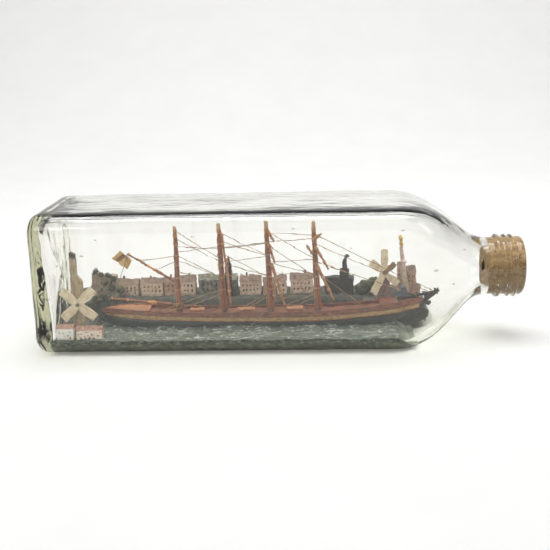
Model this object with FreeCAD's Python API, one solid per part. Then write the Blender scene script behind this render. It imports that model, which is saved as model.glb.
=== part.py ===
import FreeCAD, Part
import math, os

# Ship in a bottle. X runs along the bottle to its neck, -Y is the front, Z is up.
# The origin is the middle of the bottle's resting face. All sizes are millimetres.

V = FreeCAD.Vector
os.makedirs("parts", exist_ok=True)

# ---- driving dimensions -------------------------------------------------
LENGTH = 250.3          # bottle, base to lip
BODY = 72.0             # square body, across flats
EDGE_R = 9.5            # long edges of the body
WALL = 3.5              # glass wall
BASE_T = 8.0            # glass base
X_BASE = -127.5         # the base's outer face
X_LIP = X_BASE + LENGTH
CENTRE_X = -(X_BASE + X_LIP) / 2   # every piece moves by this when saved, so that zero is the middle of the length
FINISH_K = (X_LIP - 104.0) / 23.5  # how far the finish's rings are drawn together along its length
X_SHOULDER = 56.0       # where the square body ends
X_NECK = 104.0          # where the shoulder meets the neck
NECK_R = 14.9
BORE_R = 11.0
FINISH_R = 16.5         # beads of the screw finish
CORK_R = 10.9
CORK_X0, CORK_X1 = 103.0, 121.7
AXIS_Z = BODY / 2

SHIP_Y = -6.0           # centre plane of the ship
PIN_Z = 17.0            # height of the mast pins
PIN_D = 0.7
DECK_Z = 14.8
SEA_Z = 7.6
TOWN_Z = 18.0
THREAD_D = 0.24

# mast: foot x, top x, top z, radius at foot, radius at top
MASTS = {
    "jigger": (-56.2, -57.0, 61.6, 1.35, 0.65),
    "mizzen": (-32.9, -34.3, 63.8, 1.55, 0.70),
    "main": (-8.0, -9.8, 65.0, 1.55, 0.70),
    "fore": (16.7, 14.8, 64.0, 1.55, 0.70),
}


def save(name, shapes):
    shapes = shapes if isinstance(shapes, (list, tuple)) else [shapes]
    solids = []
    for s in shapes:
        solids += s.Solids
    solids = [s for s in solids if s.Volume > 1e-5]
    shape = solids[0] if len(solids) == 1 else Part.makeCompound(solids)
    assert shape.isValid(), name
    out = shape.copy()
    out.translate(V(CENTRE_X, 0, 0))
    out.exportStep("parts/%s.step" % name)
    bb = shape.BoundBox
    print("%-26s %3d solids %10.2f mm3  x %7.1f..%7.1f  y %6.1f..%6.1f  z %6.1f..%6.1f" % (
        name, len(solids), sum(s.Volume for s in solids), bb.XMin, bb.XMax, bb.YMin, bb.YMax, bb.ZMin, bb.ZMax))
    return shape


def box(x0, x1, y0, y1, z0, z1):
    return Part.makeBox(x1 - x0, y1 - y0, z1 - z0, V(x0, y0, z0))


def rod(a, b, d0, d1=None):
    a, b = V(*a), V(*b)
    d1 = d0 if d1 is None else d1
    axis = b - a
    if abs(d0 - d1) < 1e-6:
        return Part.makeCylinder(d0 / 2, axis.Length, a, axis)
    return Part.makeCone(d0 / 2, d1 / 2, axis.Length, a, axis)


def poly_loft(sections):
    """Closed solid with flat faces through a list of point rings, all with the same number of points."""
    faces = []
    tri = lambda a, b, c: faces.append(Part.Face(Part.makePolygon([a, b, c, a])))
    for p, q in zip(sections, sections[1:]):
        n = len(p)
        for i in range(n):
            j = (i + 1) % n
            tri(p[i], p[j], q[j])
            tri(p[i], q[j], q[i])
    for ring in (sections[0], sections[-1]):
        faces.append(Part.Face(Part.makePolygon(list(ring) + [ring[0]])))
    solid = Part.makeSolid(Part.makeShell(faces))
    if solid.Volume < 0:
        solid.reverse()
    return solid.removeSplitter()


def ring_points(x, half, r, n=6):
    """Rounded square of the given half width as points, n to a corner."""
    out = []
    for sy, sz, a0 in ((1, 1, 0), (-1, 1, 90), (-1, -1, 180), (1, -1, 270)):
        for k in range(n):
            t = math.radians(a0 + 90.0 * k / (n - 1))
            out.append(V(x, sy * (half - r) + r * math.cos(t), AXIS_Z + sz * (half - r) + r * math.sin(t)))
    return out


def ring_wire(x, half, r):
    """Rounded square of the given half width in the plane at x, round the bottle's axis."""
    c, k = half - r, math.sqrt(0.5)
    P = lambda y, z: V(x, y, AXIS_Z + z)
    e = []
    for sy, sz, a0 in ((1, 1, 0), (-1, 1, 90), (-1, -1, 180), (1, -1, 270)):
        def q(deg):
            t = math.radians(deg)
            return P(sy * c + r * math.cos(t), sz * c + r * math.sin(t))
        e.append(Part.Arc(q(a0), q(a0 + 45), q(a0 + 90)).toShape())
        nxt = {(1, 1): (-1, 1), (-1, 1): (-1, -1), (-1, -1): (1, -1), (1, -1): (1, 1)}[(sy, sz)]
        t = math.radians(a0 + 90)
        a = P(sy * c + r * math.cos(t), sz * c + r * math.sin(t))
        b = P(nxt[0] * c + r * math.cos(t), nxt[1] * c + r * math.sin(t))
        e.append(Part.LineSegment(a, b).toShape())
    return Part.Wire(e)


SHOULDER = [(56, 36, 9.5), (65, 35.3, 11.5), (73, 33.0, 14.5), (80, 29.2, 16.8), (87, 24.0, 17.6),
            (94, 18.6, 17.0), (99, 15.7, 15.3), (104, 14.9, 14.7)]


def body_solid(inset, x0, fillet):
    """Body and shoulder, pulled in from the outside by inset, from x0 to the neck."""
    tube = Part.Face(ring_wire(x0, BODY / 2 - inset, EDGE_R - inset)).extrude(V(X_SHOULDER - x0, 0, 0))
    edges = [e for e in tube.Edges if all(abs(v.X - x0) < 1e-6 for v in e.Vertexes)]
    tube = tube.makeFillet(fillet, edges)
    wires = []
    for x, half, r in SHOULDER:
        t = (x - 56) / 48.0
        i = inset * (1 + 0.11 * t) if inset else 0
        h = half - i
        wires.append(ring_wire(x - 0.35 * inset * math.sin(math.pi * min(1, t * 1.0)), h, min(r - i, h - 0.15)))
    shoulder = Part.makeLoft(wires, True, True)
    return tube.fuse(shoulder)


# ---- bottle ---------------------------------------------------------------
outer = body_solid(0, X_BASE, 7.0)
profile = [(X_NECK, 0), (X_NECK, NECK_R), (107.0, 14.9), (108.6, 15.6), (109.6, 16.5), (111.2, 16.5), (112.4, 15.6),
           (114.2, 15.5), (115.6, 16.4), (117.2, 16.5), (118.6, 15.7), (119.8, 15.7), (120.8, 16.3), (122.2, 16.2),
           (123.2, 15.6), (124.4, 15.6), (125.6, 15.3), (126.8, 14.3), (127.5, 12.9), (127.5, 0)]
pts = [V(X_NECK + (x - X_NECK) * FINISH_K, 0, AXIS_Z + r) for x, r in profile]
finish = Part.Face(Part.makePolygon(pts + [pts[0]])).revolve(V(0, 0, AXIS_Z), V(1, 0, 0), 360)
cavity = body_solid(WALL, X_BASE + BASE_T, 5.0)
bore = Part.makeCylinder(BORE_R, X_LIP - X_NECK + 6, V(X_NECK - 3, 0, AXIS_Z), V(1, 0, 0))
bottle = outer.fuse(finish).cut(cavity).cut(bore)
save("bottle", bottle)

cork = Part.makeCone(CORK_R - 0.35, CORK_R, CORK_X1 - CORK_X0, V(CORK_X0, 0, AXIS_Z), V(1, 0, 0))
cork = cork.makeChamfer(0.5, [e for e in cork.Edges if len(e.Vertexes) == 1 and e.Closed])
save("cork", cork)

# ---- putty bed: space that fillings may take ---------------------------------
XC = X_BASE + BASE_T + 0.2
HC = BODY / 2 - WALL - 0.2
fill = poly_loft([ring_points(XC, HC - 3.9, 1.8), ring_points(XC + 1.8, HC - 1.4, 4.3), ring_points(XC + 5.2, HC, 5.7),
                  ring_points(56, HC, 5.7), ring_points(65, 31.0, 8.0), ring_points(73, 28.1, 10.9), ring_points(80, 23.8, 12.8)])

# ---- hull -------------------------------------------------------------------
# station: x, half beam, underside of the wood band, rail height
ST = [(-97.5, 3.6, 12.0, 18.9), (-94, 5.2, 11.8, 18.6), (-84, 6.4, 11.2, 17.8), (-60, 7.0, 10.4, 16.3),
      (-20, 7.1, 9.6, 15.7), (20, 7.0, 10.2, 16.0), (42, 6.2, 12.0, 17.6), (56, 4.6, 13.9, 19.3),
      (65, 2.7, 15.2, 20.6), (71.2, 0.7, 16.2, 21.4)]
KEEL_Z = 4.6


def lerp(x, col):
    for a, b in zip(ST, ST[1:]):
        if x <= b[0]:
            t = (x - a[0]) / (b[0] - a[0])
            return a[col] + (b[col] - a[col]) * t
    return ST[-1][col]


def trapezoid(x, y0, z0, y1, z1):
    return [V(x, SHIP_Y - y0, z0), V(x, SHIP_Y + y0, z0), V(x, SHIP_Y + y1, z1), V(x, SHIP_Y - y1, z1)]


def deck_z(x):
    return DECK_Z + max(0.0, (x - 24) * 0.085) + max(0.0, (-62 - x) * 0.04)


hull = poly_loft([trapezoid(x, max(0.3, 0.55 * b), KEEL_Z + (max(0, x - 40) * 0.17), max(0.45, 0.97 * b), zs)
                  for x, b, zs, zr in ST])
topside = poly_loft([trapezoid(x, max(0.45, 0.97 * b), zs, b, zr) for x, b, zs, zr in ST])
well_x = [-96.6, -94, -84, -72, -62, -60, -20, 20, 24, 42, 49, 56, 63.6, 64]
well = poly_loft([trapezoid(x, lerp(x, 1) - 0.75, deck_z(x) - 0.4, lerp(x, 1) - 0.75, 24) for x in well_x])
deck = poly_loft([trapezoid(x, lerp(x, 1) - 0.75, deck_z(x) - 0.4, lerp(x, 1) - 0.75, deck_z(x)) for x in well_x])
topside = topside.cut(well)

poop_x = [-96.2, -94, -84, -72]
poop = poly_loft([trapezoid(x, lerp(x, 1) - 0.95, deck_z(x), lerp(x, 1) - 0.95, 18.0) for x in poop_x])
fc_x = [49, 56, 63.6]
forecastle = poly_loft([trapezoid(x, lerp(x, 1) - 0.95, deck_z(x), lerp(x, 1) - 0.95, deck_z(x) + 1.9) for x in fc_x])

houses_on_deck = [box(-50.5, -43.5, SHIP_Y - 2.3, SHIP_Y + 2.3, DECK_Z, 16.5),
                  box(-25.5, -17.0, SHIP_Y - 2.6, SHIP_Y + 2.6, DECK_Z, 16.6),
                  box(0.5, 8.5, SHIP_Y - 2.4, SHIP_Y + 2.4, DECK_Z, 16.5)]
houses_on_deck = [h.makeFillet(0.35, [e for e in h.Edges if e.BoundBox.ZMin > 16.3]) for h in houses_on_deck]

bowsprit = rod((58.0, SHIP_Y, deck_z(58) + 3.0), (79.4, SHIP_Y, 24.9), 1.7, 0.9)
beak = [rod((71.0, SHIP_Y, 19.2), (77.5, SHIP_Y, 22.6), 2.2, 0.7)]
bowsprit = bowsprit.cut(forecastle).cut(topside)
bowsprit = max(bowsprit.Solids, key=lambda s: s.Volume)
beakhead = beak[0].cut(topside).cut(hull).cut(bowsprit)
beakhead = max(beakhead.Solids, key=lambda s: s.Volume)

save("hull", hull)
save("topside_planking", topside)
save("deck", deck)
save("poop", poop)
save("forecastle", forecastle)
save("deckhouses", houses_on_deck)
save("bowsprit", bowsprit)
save("beakhead", beakhead)

# ---- masts, on wire pins through their feet -------------------------------------
masts, axis_of = {}, {}
for name, (xf, xt, zt, r0, r1) in MASTS.items():
    foot, top = V(xf, SHIP_Y, PIN_Z), V(xt, SHIP_Y, zt)
    d = (top - foot).normalize()
    axis_of[name] = (foot, d, (top - foot).Length)
    a = foot - d * 1.25
    m = Part.makeCone(r0, r1, (top - a).Length, a, d)
    m = m.makeFillet(0.3, [e for e in m.Edges if e.Closed and e.BoundBox.ZMax > zt - 1])
    m = m.cut(Part.makeCylinder(PIN_D / 2 + 0.12, 8, V(xf, SHIP_Y - 4, PIN_Z), V(0, 1, 0)))
    masts[name] = m
    save("mast_" + name, m)

staples = []
for name, (xf, xt, zt, r0, r1) in MASTS.items():
    w = 2.6
    bar = rod((xf, SHIP_Y - w - 0.5, PIN_Z), (xf, SHIP_Y + w + 0.5, PIN_Z), PIN_D)
    for s in (-1, 1):
        bar = bar.fuse(box(xf - 0.22, xf + 0.22, SHIP_Y + s * w - 0.22, SHIP_Y + s * w + 0.22, DECK_Z, PIN_Z))
    staples.append(bar)
    for s in (-1, 1):
        rail = lerp(xf, 3)
        staples.append(box(xf - 0.2, xf + 0.2, SHIP_Y + s * 6.6 - 0.2, SHIP_Y + s * 6.6 + 0.2, rail, PIN_Z + 0.1))
save("mast_pins", staples)


def on_mast(name, z, side=-1.0, gap=0.0, fwd=0.0):
    """Point beside a mast's surface at height z: side -1 is the front (-Y) side."""
    xf, xt, zt, r0, r1 = MASTS[name]
    t = (z - PIN_Z) / (zt - PIN_Z)
    r = r0 + (r1 - r0) * t
    return (xf + (xt - xf) * t + fwd, SHIP_Y + side * (r + gap), z)


def mast_r(name, z):
    xf, xt, zt, r0, r1 = MASTS[name]
    return r0 + (r1 - r0) * (z - PIN_Z) / (zt - PIN_Z)


# ---- yards, lashed by their middles and hanging down beside the masts ----------------
def yard(a, b, d0, d1):
    """Spar thickest at one third of its length."""
    a, b = V(*a), V(*b)
    m = a + (b - a) * 0.35
    return rod(a, m, d1 * 0.8, d0).fuse(rod(m, b, d0, d1)).removeSplitter()


YARDS = {
    "mizzen": [((-32.4, -8.1, 57.0), (-30.7, -10.6, 41.2), 1.2, 0.8), ((-30.6, -8.6, 44.0), (-28.6, -12.4, 19.6), 1.5, 0.8)],
    "main": [((-8.6, -8.2, 57.6), (-5.4, -9.6, 52.3), 1.1, 0.8), ((-8.3, -8.2, 51.0), (-5.2, -10.6, 41.6), 1.2, 0.8),
             ((-7.4, -8.4, 41.2), (-0.2, -12.4, 18.8), 1.5, 0.9), ((-7.0, -8.1, 31.0), (-5.4, -8.9, 20.6), 1.1, 0.8)],
    "fore": [((14.6, -8.2, 52.8), (19.2, -9.0, 55.8), 1.1, 0.8), ((15.8, -8.2, 49.3), (22.3, -10.4, 38.2), 1.3, 0.8),
             ((16.6, -8.5, 39.4), (24.9, -12.4, 21.9), 1.5, 0.9), ((14.2, -8.3, 45.6), (11.2, -9.4, 50.4), 1.0, 0.7)],
}
for name, spars in YARDS.items():
    solids = [yard(*s).cut(masts[name]) for s in spars]
    save("yards_" + name, solids)

# ---- spanker gaff and boom ---------------------------------------------------------
GAFF_PIVOT = (-59.05, SHIP_Y, 31.9)
gaff = rod(GAFF_PIVOT, (-82.3, SHIP_Y, 46.6), 1.5, 0.9)
gaff = gaff.fuse(Part.makeSphere(0.78, V(*GAFF_PIVOT)))
for s in (-1, 1):
    gaff = gaff.fuse(box(GAFF_PIVOT[0] - 0.4, GAFF_PIVOT[0] + 2.6, SHIP_Y + s * 1.65 - 0.25, SHIP_Y + s * 1.65 + 0.25,
                         GAFF_PIVOT[2] - 0.45, GAFF_PIVOT[2] + 0.45))
gaff = gaff.fuse(box(GAFF_PIVOT[0] - 0.55, GAFF_PIVOT[0] + 0.25, SHIP_Y - 1.9, SHIP_Y + 1.9, GAFF_PIVOT[2] - 0.45, GAFF_PIVOT[2] + 0.45))
save("spanker_gaff", gaff.removeSplitter())
BOOM_Y = SHIP_Y - 2.9
boom = rod((-54.6, BOOM_Y, 19.2), (-92.4, BOOM_Y, 23.5), 1.5, 0.9)
save("spanker_boom", boom)

# flag of stiff paper on its halyard wire, tied to the gaff's peak
fx = [(-91.0, 43.8), (-86.3, 47.9), (-80.2, 43.0), (-83.1, 37.8)]
FLAG_Y = SHIP_Y + 0.85
flag = Part.Face(Part.makePolygon([V(x, FLAG_Y, z) for x, z in fx] + [V(fx[0][0], FLAG_Y, fx[0][1])])).extrude(V(0, 0.25, 0))
save("flag", flag)
wire = rod((-84.9, FLAG_Y - 0.2, 39.6), (-88.6, FLAG_Y - 0.3, 29.5), 0.3)
save("flag_halyard", wire.cut(flag))

# ---- rigging threads -----------------------------------------------------------------
ROUND = list(masts.values()) + [yard(*s) for v in YARDS.values() for s in v]


def threads(name, lines):
    """Straight threads, trimmed back where they reach a spar."""
    out = []
    for a, b in lines:
        t = rod(a, b, THREAD_D)
        near = [k for k in ROUND if k.BoundBox.intersect(t.BoundBox)]
        if near:
            t = t.cut(near)
        out += [k for k in t.Solids if k.Volume > 0.01]
    save(name, out)


# shrouds: their lower ends lie on the line of the mast's pin, so they stay tight as it folds
for name, (xf, xt, zt, r0, r1) in MASTS.items():
    zh = 47.5 if name != "jigger" else 45.0
    lines = []
    for s in (-1, 1):
        lines.append((on_mast(name, zh, s, 0.4), (xf - 0.45, SHIP_Y + s * 6.6, PIN_Z)))
        lines.append((on_mast(name, zh - (4 if name == "jigger" else 9), s, 0.4), (xf + 0.45, SHIP_Y + s * 6.6, PIN_Z)))
    threads("shrouds_" + name, lines)

# stays between masts: (height on the aft mast, height on the forward mast)
PAIRS = {
    "stays_jigger_mizzen_top": ("jigger", "mizzen", [(50.2, 48.9), (46.8, 49.5)], 49.0),
    "stays_jigger_mizzen_upper": ("jigger", "mizzen", [(54.6, 42.0), (57.6, 42.8)], 42.4),
    "stays_jigger_mizzen_lower": ("jigger", "mizzen", [(46.0, 33.8), (42.4, 33.2), (37.0, 33.0)], 33.4),
    "stays_mizzen_main_top": ("mizzen", "main", [(49.5, 51.6), (48.8, 51.0)], 51.4),
    "stays_mizzen_main_upper": ("mizzen", "main", [(57.0, 45.0), (52.6, 44.2), (41.6, 44.8)], 44.8),
    "stays_mizzen_main_lower": ("mizzen", "main", [(47.0, 33.2), (40.0, 33.8), (35.0, 33.0)], 33.4),
    "stays_main_fore_top": ("main", "fore", [(51.8, 53.6), (56.4, 54.2)], 53.8),
    "stays_main_fore_upper": ("main", "fore", [(57.4, 42.6), (41.0, 42.0)], 42.4),
    "stays_main_fore_lower": ("main", "fore", [(50.6, 33.4), (40.8, 34.2), (36.0, 33.6)], 33.8),
}
for name, (a, b, hs, h) in PAIRS.items():
    lines = []
    for i, (ha, hb) in enumerate(hs):
        s = -1 if i % 2 == 0 else 1
        gap = 0.05 + 0.3 * (i // 2) + (0.65 if name.endswith("top") else 0.0)
        lines.append((on_mast(a, ha, s, gap), on_mast(b, hb, s, gap)))
    threads(name, lines)

# forestays, from the foremast to the bowsprit and the bow
threads("forestays", [(on_mast("fore", 55.6, -1, 0.05), (76.0, SHIP_Y - 0.7, 24.3)),
                      (on_mast("fore", 50.0, 1, 0.05), (73.6, SHIP_Y + 0.75, 23.8)),
                      (on_mast("fore", 40.6, -1, 0.05), (68.2, SHIP_Y - 0.85, 22.6))])
# braces, from the deck edge to the masts
threads("braces_mizzen", [((-62.0, SHIP_Y - 5.6, 16.9), on_mast("mizzen", 27.6, -1, 0.05)),
                          ((-59.6, SHIP_Y - 5.8, 16.9), on_mast("mizzen", 24.6, -1, 0.05))])
threads("braces_main", [((-28.2, SHIP_Y - 5.9, 16.6), on_mast("main", 25.4, -1, 0.05)),
                        ((-25.2, SHIP_Y - 6.2, 16.6), on_mast("main", 23.8, -1, 0.05))])
threads("braces_fore", [((-10.8, SHIP_Y - 6.4, 16.7), on_mast("fore", 24.6, -1, 0.05)),
                        ((-10.0, SHIP_Y + 6.4, 16.7), on_mast("fore", 27.6, 1, 0.05)),
                        ((-6.2, SHIP_Y - 6.4, 16.7), on_mast("fore", 22.6, -1, 0.05))])
threads("gaff_halyard", [((-76.5, SHIP_Y - 0.7, 43.3), on_mast("jigger", 45.6, -1, 0.05)),
                         ((-68.5, SHIP_Y - 0.75, 38.2), on_mast("jigger", 42.6, -1, 0.05))])

# ---- left windmill ------------------------------------------------------------------
LWX, LWZ = -106.3, 23.6


def flat_board(pts, y0, y1):
    p = [V(x, y0, z) for x, z in pts]
    return Part.Face(Part.makePolygon(p + [p[0]])).extrude(V(0, y1 - y0, 0))


def sail_cross(cx, cz, y0, y1, arms, hub_r, hole_r):
    """Four flat sails: arms is a list of (angle from +X in degrees, length, width)."""
    s = Part.makeCylinder(hub_r, y1 - y0, V(cx, y0, cz), V(0, 1, 0))
    for deg, length, width in arms:
        t = math.radians(deg)
        u, n = (math.cos(t), math.sin(t)), (-math.sin(t), math.cos(t))
        w0, w1 = width * 0.36, width * 0.5
        pts = [(cx + n[0] * w0, cz + n[1] * w0), (cx - n[0] * w0, cz - n[1] * w0),
               (cx + u[0] * length * .55 - n[0] * w1, cz + u[1] * length * .55 - n[1] * w1),
               (cx + u[0] * length - n[0] * w1, cz + u[1] * length - n[1] * w1),
               (cx + u[0] * length + n[0] * w1, cz + u[1] * length + n[1] * w1),
               (cx + u[0] * length * .55 + n[0] * w1, cz + u[1] * length * .55 + n[1] * w1)]
        s = s.fuse(flat_board(pts, y0, y1))
    s = s.cut(Part.makeCylinder(hole_r, 10, V(cx, y0 - 4, cz), V(0, 1, 0)))
    return s.removeSplitter()


lw_tower = flat_board([(LWX - 2.6, 7.4), (LWX + 2.6, 7.4), (LWX + 2.3, 35.0), (LWX - 0.2, 38.8), (LWX - 2.4, 35.2)], -19.6, -16.4)
lw_tower = lw_tower.cut(Part.makeCylinder(0.45, 10, V(LWX, -23, LWZ), V(0, 1, 0)))
lw_sails = sail_cross(LWX, LWZ, -21.7, -20.6, [(137, 11.2, 5.0), (43, 11.3, 5.2), (222, 11.2, 5.0), (320, 11.2, 4.8)], 1.9, 0.5)
lw_pin = rod((LWX, -22.2, LWZ), (LWX, -16.9, LWZ), 0.8).fuse(Part.makeCylinder(0.95, 0.35, V(LWX, -22.55, LWZ), V(0, 1, 0)))
save("windmill_left_tower", lw_tower)
save("windmill_left_sails", lw_sails)

# ---- right windmill -----------------------------------------------------------------
RWX, RWZ = 51.8, 32.2
rw_tower = flat_board([(RWX - 3.6, 17.0), (RWX + 4.4, 17.0), (RWX + 2.4, 31.6), (RWX + 0.6, 35.4), (RWX - 0.4, 35.4), (RWX - 2.0, 31.6)], 4.6, 8.4)
rw_tower = rw_tower.cut(Part.makeCylinder(0.45, 12, V(RWX, 0, RWZ), V(0, 1, 0)))
rw_sails = sail_cross(RWX, RWZ, 2.6, 3.6, [(90, 12.6, 4.0), (141, 9.6, 4.0), (242, 12.6, 4.2), (318, 9.8, 3.8), (40, 7.6, 2.8)], 1.8, 0.5)
rw_pin = rod((RWX, 2.1, RWZ), (RWX, 8.0, RWZ), 0.8).fuse(Part.makeCylinder(0.95, 0.35, V(RWX, 1.8, RWZ), V(0, 1, 0)))
save("windmill_right_tower", rw_tower)
save("windmill_right_sails", rw_sails)
save("windmill_pins", [lw_pin, rw_pin])

# ---- lighthouse ----------------------------------------------------------------------
LHX, LHY = 62.2, 11.0
lh = rod((LHX + 2.0, LHY, 17.2), (LHX + 0.3, LHY, 36.0), 4.6, 3.4)
gallery = rod((LHX + 0.3, LHY, 36.0), (LHX + 0.25, LHY, 36.9), 4.9)
shaft2 = rod((LHX + 0.25, LHY, 36.9), (LHX - 0.6, LHY, 45.6), 2.7, 2.1)
lantern = rod((LHX - 0.6, LHY, 45.6), (LHX - 0.9, LHY, 49.0), 2.0, 2.2)
cap = rod((LHX - 0.9, LHY, 49.0), (LHX - 1.05, LHY, 50.6), 2.8, 0.5)
save("lighthouse_tower", lh.fuse(shaft2.cut(gallery)).fuse(gallery).removeSplitter())
save("lighthouse_lantern", lantern.fuse(cap).cut(shaft2).removeSplitter())

# ---- town ----------------------------------------------------------------------------
def gable(x0, x1, y0, y1, z0, z1, over=0.35):
    p = [V(x0 - over, y0 - over, z0), V(x0 - over, y1 + over, z0), V(x0 - over, (y0 + y1) / 2, z1)]
    return Part.Face(Part.makePolygon(p + [p[0]])).extrude(V(x1 - x0 + 2 * over, 0, 0))


# walls: x0, x1, y0, y1, eaves, ridge
ROW = [(-93.4, -81.8, 14.0, 21.0, 24.6, 27.2), (-80.4, -68.0, 14.0, 21.5, 25.0, 27.6), (-67.2, -60.6, 14.4, 21.5, 25.6, 28.2),
       (-59.6, -50.2, 14.0, 21.0, 25.6, 28.8), (-26.0, -14.4, 14.0, 21.0, 25.6, 28.8), (-13.2, -6.4, 14.6, 21.0, 24.6, 27.0),
       (-5.4, -0.4, 14.0, 21.0, 25.2, 28.0), (1.8, 14.0, 14.0, 21.0, 26.6, 29.6)]
walls = [box(a, b, c, d, TOWN_Z, e) for a, b, c, d, e, f in ROW]
roofs = [gable(a, b, c, d, e, f) for a, b, c, d, e, f in ROW]
chimneys = []
for i, (a, b, c, d, e, f) in enumerate(ROW):
    xc = a + (b - a) * (0.3 + 0.12 * (i % 4))
    chimneys.append(box(xc - 0.5, xc + 0.5, (c + d) / 2 - 0.5, (c + d) / 2 + 0.5, f - 0.9, f + 1.2))
roofs = [r.cut(chimneys) for r in roofs]

# hall with a dark tower
hall = box(-48.4, -27.6, 14.5, 22.5, TOWN_Z, 26.4)
hall_roof = gable(-48.4, -27.6, 14.5, 22.5, 26.4, 29.2, 0.3)
tower = flat_board([(-33.8, TOWN_Z), (-29.6, TOWN_Z), (-30.2, 35.0), (-31.6, 40.8), (-33.2, 35.4)], 11.6, 14.0)
save("town_houses", walls + [hall])
save("town_roofs", roofs + [hall_roof] + chimneys)
save("town_tower", tower)

# chapel with its hooked spire, on the right of the town
chapel = box(20.8, 36.0, 14.5, 21.5, TOWN_Z, 27.0).fuse(box(28.8, 33.4, 14.5, 19.0, 27.0, 31.0)).removeSplitter()
spire = rod((31.1, 16.7, 31.0), (31.3, 16.7, 36.0), 3.4, 1.0).fuse(rod((31.3, 16.7, 36.0), (32.6, 16.7, 38.8), 1.0, 0.7)).removeSplitter()
save("chapel", [chapel] + spire.cut(chapel).Solids)

# stand of trees: lumpy putty foliage
def clump(items):
    out = None
    for x, y, z, r in items:
        s = Part.makeSphere(r, V(x, y, z))
        out = s if out is None else out.fuse(s)
    return out.cut(box(-200, 200, -50, 50, -10, TOWN_Z))


trees_a = clump([(39.8, 14, 20.5, 3.4), (43.2, 15, 21.6, 3.8), (46.8, 14, 24.6, 3.0), (46.0, 14.5, 20.6, 3.4)])
bushes = [(-101.5, 4.6, 2.9), (-97.0, 5.2, 2.6), (-92.4, 4.8, 2.4)]
shrub = clump([(x, y, TOWN_Z + r * 0.5, r) for x, y, r in bushes]).Solids
save("trees", [trees_a] + shrub)

# keep at the left end of the town
keep = flat_board([(-105.8, TOWN_Z), (-92.4, TOWN_Z), (-92.6, 30.6), (-101.6, 31.4), (-104.0, 34.6), (-105.8, 31.8)], 9.4, 13.5)
save("keep", keep)

# right hand houses under the lighthouse
rh = [box(60.2, 64.6, 15.0, 21.0, TOWN_Z, 31.2), box(65.0, 70.4, 15.0, 21.0, TOWN_Z, 28.6), box(67.6, 71.4, 5.6, 8.4, 17.0, 22.6)]
rh_roof = [gable(60.2, 64.6, 15.0, 21.0, 31.2, 34.6, 0.25), gable(65.0, 70.4, 15.0, 21.0, 28.6, 32.0, 0.1), gable(67.6, 71.4, 5.6, 8.4, 22.6, 25.0, 0.25)]
shed = box(58.2, 66.4, 5.0, 8.0, 17.0, 18.6)
shed_roof = flat_board([(58.0, 18.6), (66.6, 18.6), (63.4, 23.4), (61.4, 23.6)], 4.8, 8.2)
save("quay_houses", rh + [shed])
save("quay_roofs", rh_roof + [shed_roof])

# cottages by the front wall, and the tall post behind the left windmill
cw = box(-116.6, -107.6, -29.6, -24.6, 6.2, 13.6)
cp = box(-106.2, -93.2, -29.6, -24.6, 6.0, 12.4)
save("cottages", [cw, cp])
save("cottage_roofs", [gable(-116.6, -107.6, -29.6, -24.6, 13.6, 15.8, 0.3), gable(-106.2, -93.2, -29.6, -24.6, 12.4, 14.8, 0.3)])
post = flat_board([(-112.0, 9.4), (-108.2, 9.4), (-108.6, 48.0), (-111.6, 49.2)], -12.2, -9.0)
save("tall_post", post)

# ---- putty: sea, shore, left mound ------------------------------------------------------
buildings = walls + [hall, tower, chapel, keep, trees_a, lh, rw_tower, shed, cw, cp, post, lw_tower] + rh + shrub
shore = box(-121, 76, 9.0, 34, 0, TOWN_Z).fuse(box(38, 76, 4.2, 9.0, 0, 17.0)).fuse(box(-106.5, -88.0, 2.0, 9.0, 0, TOWN_Z)).removeSplitter()
shore = shore.common(fill).cut(buildings)
mound = box(-121, -91.6, -34, -24.0, 0, 6.0).fuse(box(-121, -99.0, -24.0, 9.0, 0, 9.4))
mound = mound.common(fill).cut([shore, hull, topside] + buildings)
sea = box(-121, 66.0, -34, 9.0, 0, SEA_Z)
slope = flat_board([(56.0, SEA_Z + 0.1), (68.0, SEA_Z + 0.1), (68.0, 2.0), (66.5, 4.0)], -35, 10)
sea = sea.cut(slope).common(fill).cut([shore, mound, hull, topside, rw_tower, lw_tower, cp, cw])
big = lambda s: [k for k in s.Solids if k.Volume > 5]
save("shore", big(shore) + big(mound))
save("sea", big(sea))
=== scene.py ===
import bpy, bmesh, math, random
from mathutils import Vector, Matrix, noise


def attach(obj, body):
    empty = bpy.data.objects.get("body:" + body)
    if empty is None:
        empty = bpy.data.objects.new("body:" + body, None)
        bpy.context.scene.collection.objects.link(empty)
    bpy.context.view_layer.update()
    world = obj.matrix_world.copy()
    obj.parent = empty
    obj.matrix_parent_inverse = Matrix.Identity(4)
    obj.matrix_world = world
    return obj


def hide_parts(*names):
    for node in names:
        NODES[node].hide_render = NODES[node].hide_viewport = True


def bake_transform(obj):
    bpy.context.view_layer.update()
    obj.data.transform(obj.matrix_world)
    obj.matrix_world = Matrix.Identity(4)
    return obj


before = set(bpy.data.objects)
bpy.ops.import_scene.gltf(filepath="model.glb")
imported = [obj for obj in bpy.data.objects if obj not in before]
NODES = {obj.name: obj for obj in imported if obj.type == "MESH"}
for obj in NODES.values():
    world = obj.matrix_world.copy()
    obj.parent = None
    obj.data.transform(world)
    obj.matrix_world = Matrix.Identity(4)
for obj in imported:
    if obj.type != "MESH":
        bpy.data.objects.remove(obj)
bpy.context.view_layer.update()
MM = 0.001
CX = 2.35   # millimetres from the drawing's zero to the middle of the bottle's length
RND = random.Random(11)


# ---------------------------------------------------------------- small helpers
def lin(c):
    c = c / 255.0
    return c / 12.92 if c <= 0.04045 else ((c + 0.055) / 1.055) ** 2.4


def rgb(r, g, b):
    return (lin(r), lin(g), lin(b), 1.0)


def nz(x, y, z, s=1.0, seed=0.0):
    return noise.noise(Vector((x * s + seed * 7.31, y * s - seed * 3.17, z * s + seed * 1.93)))


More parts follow.
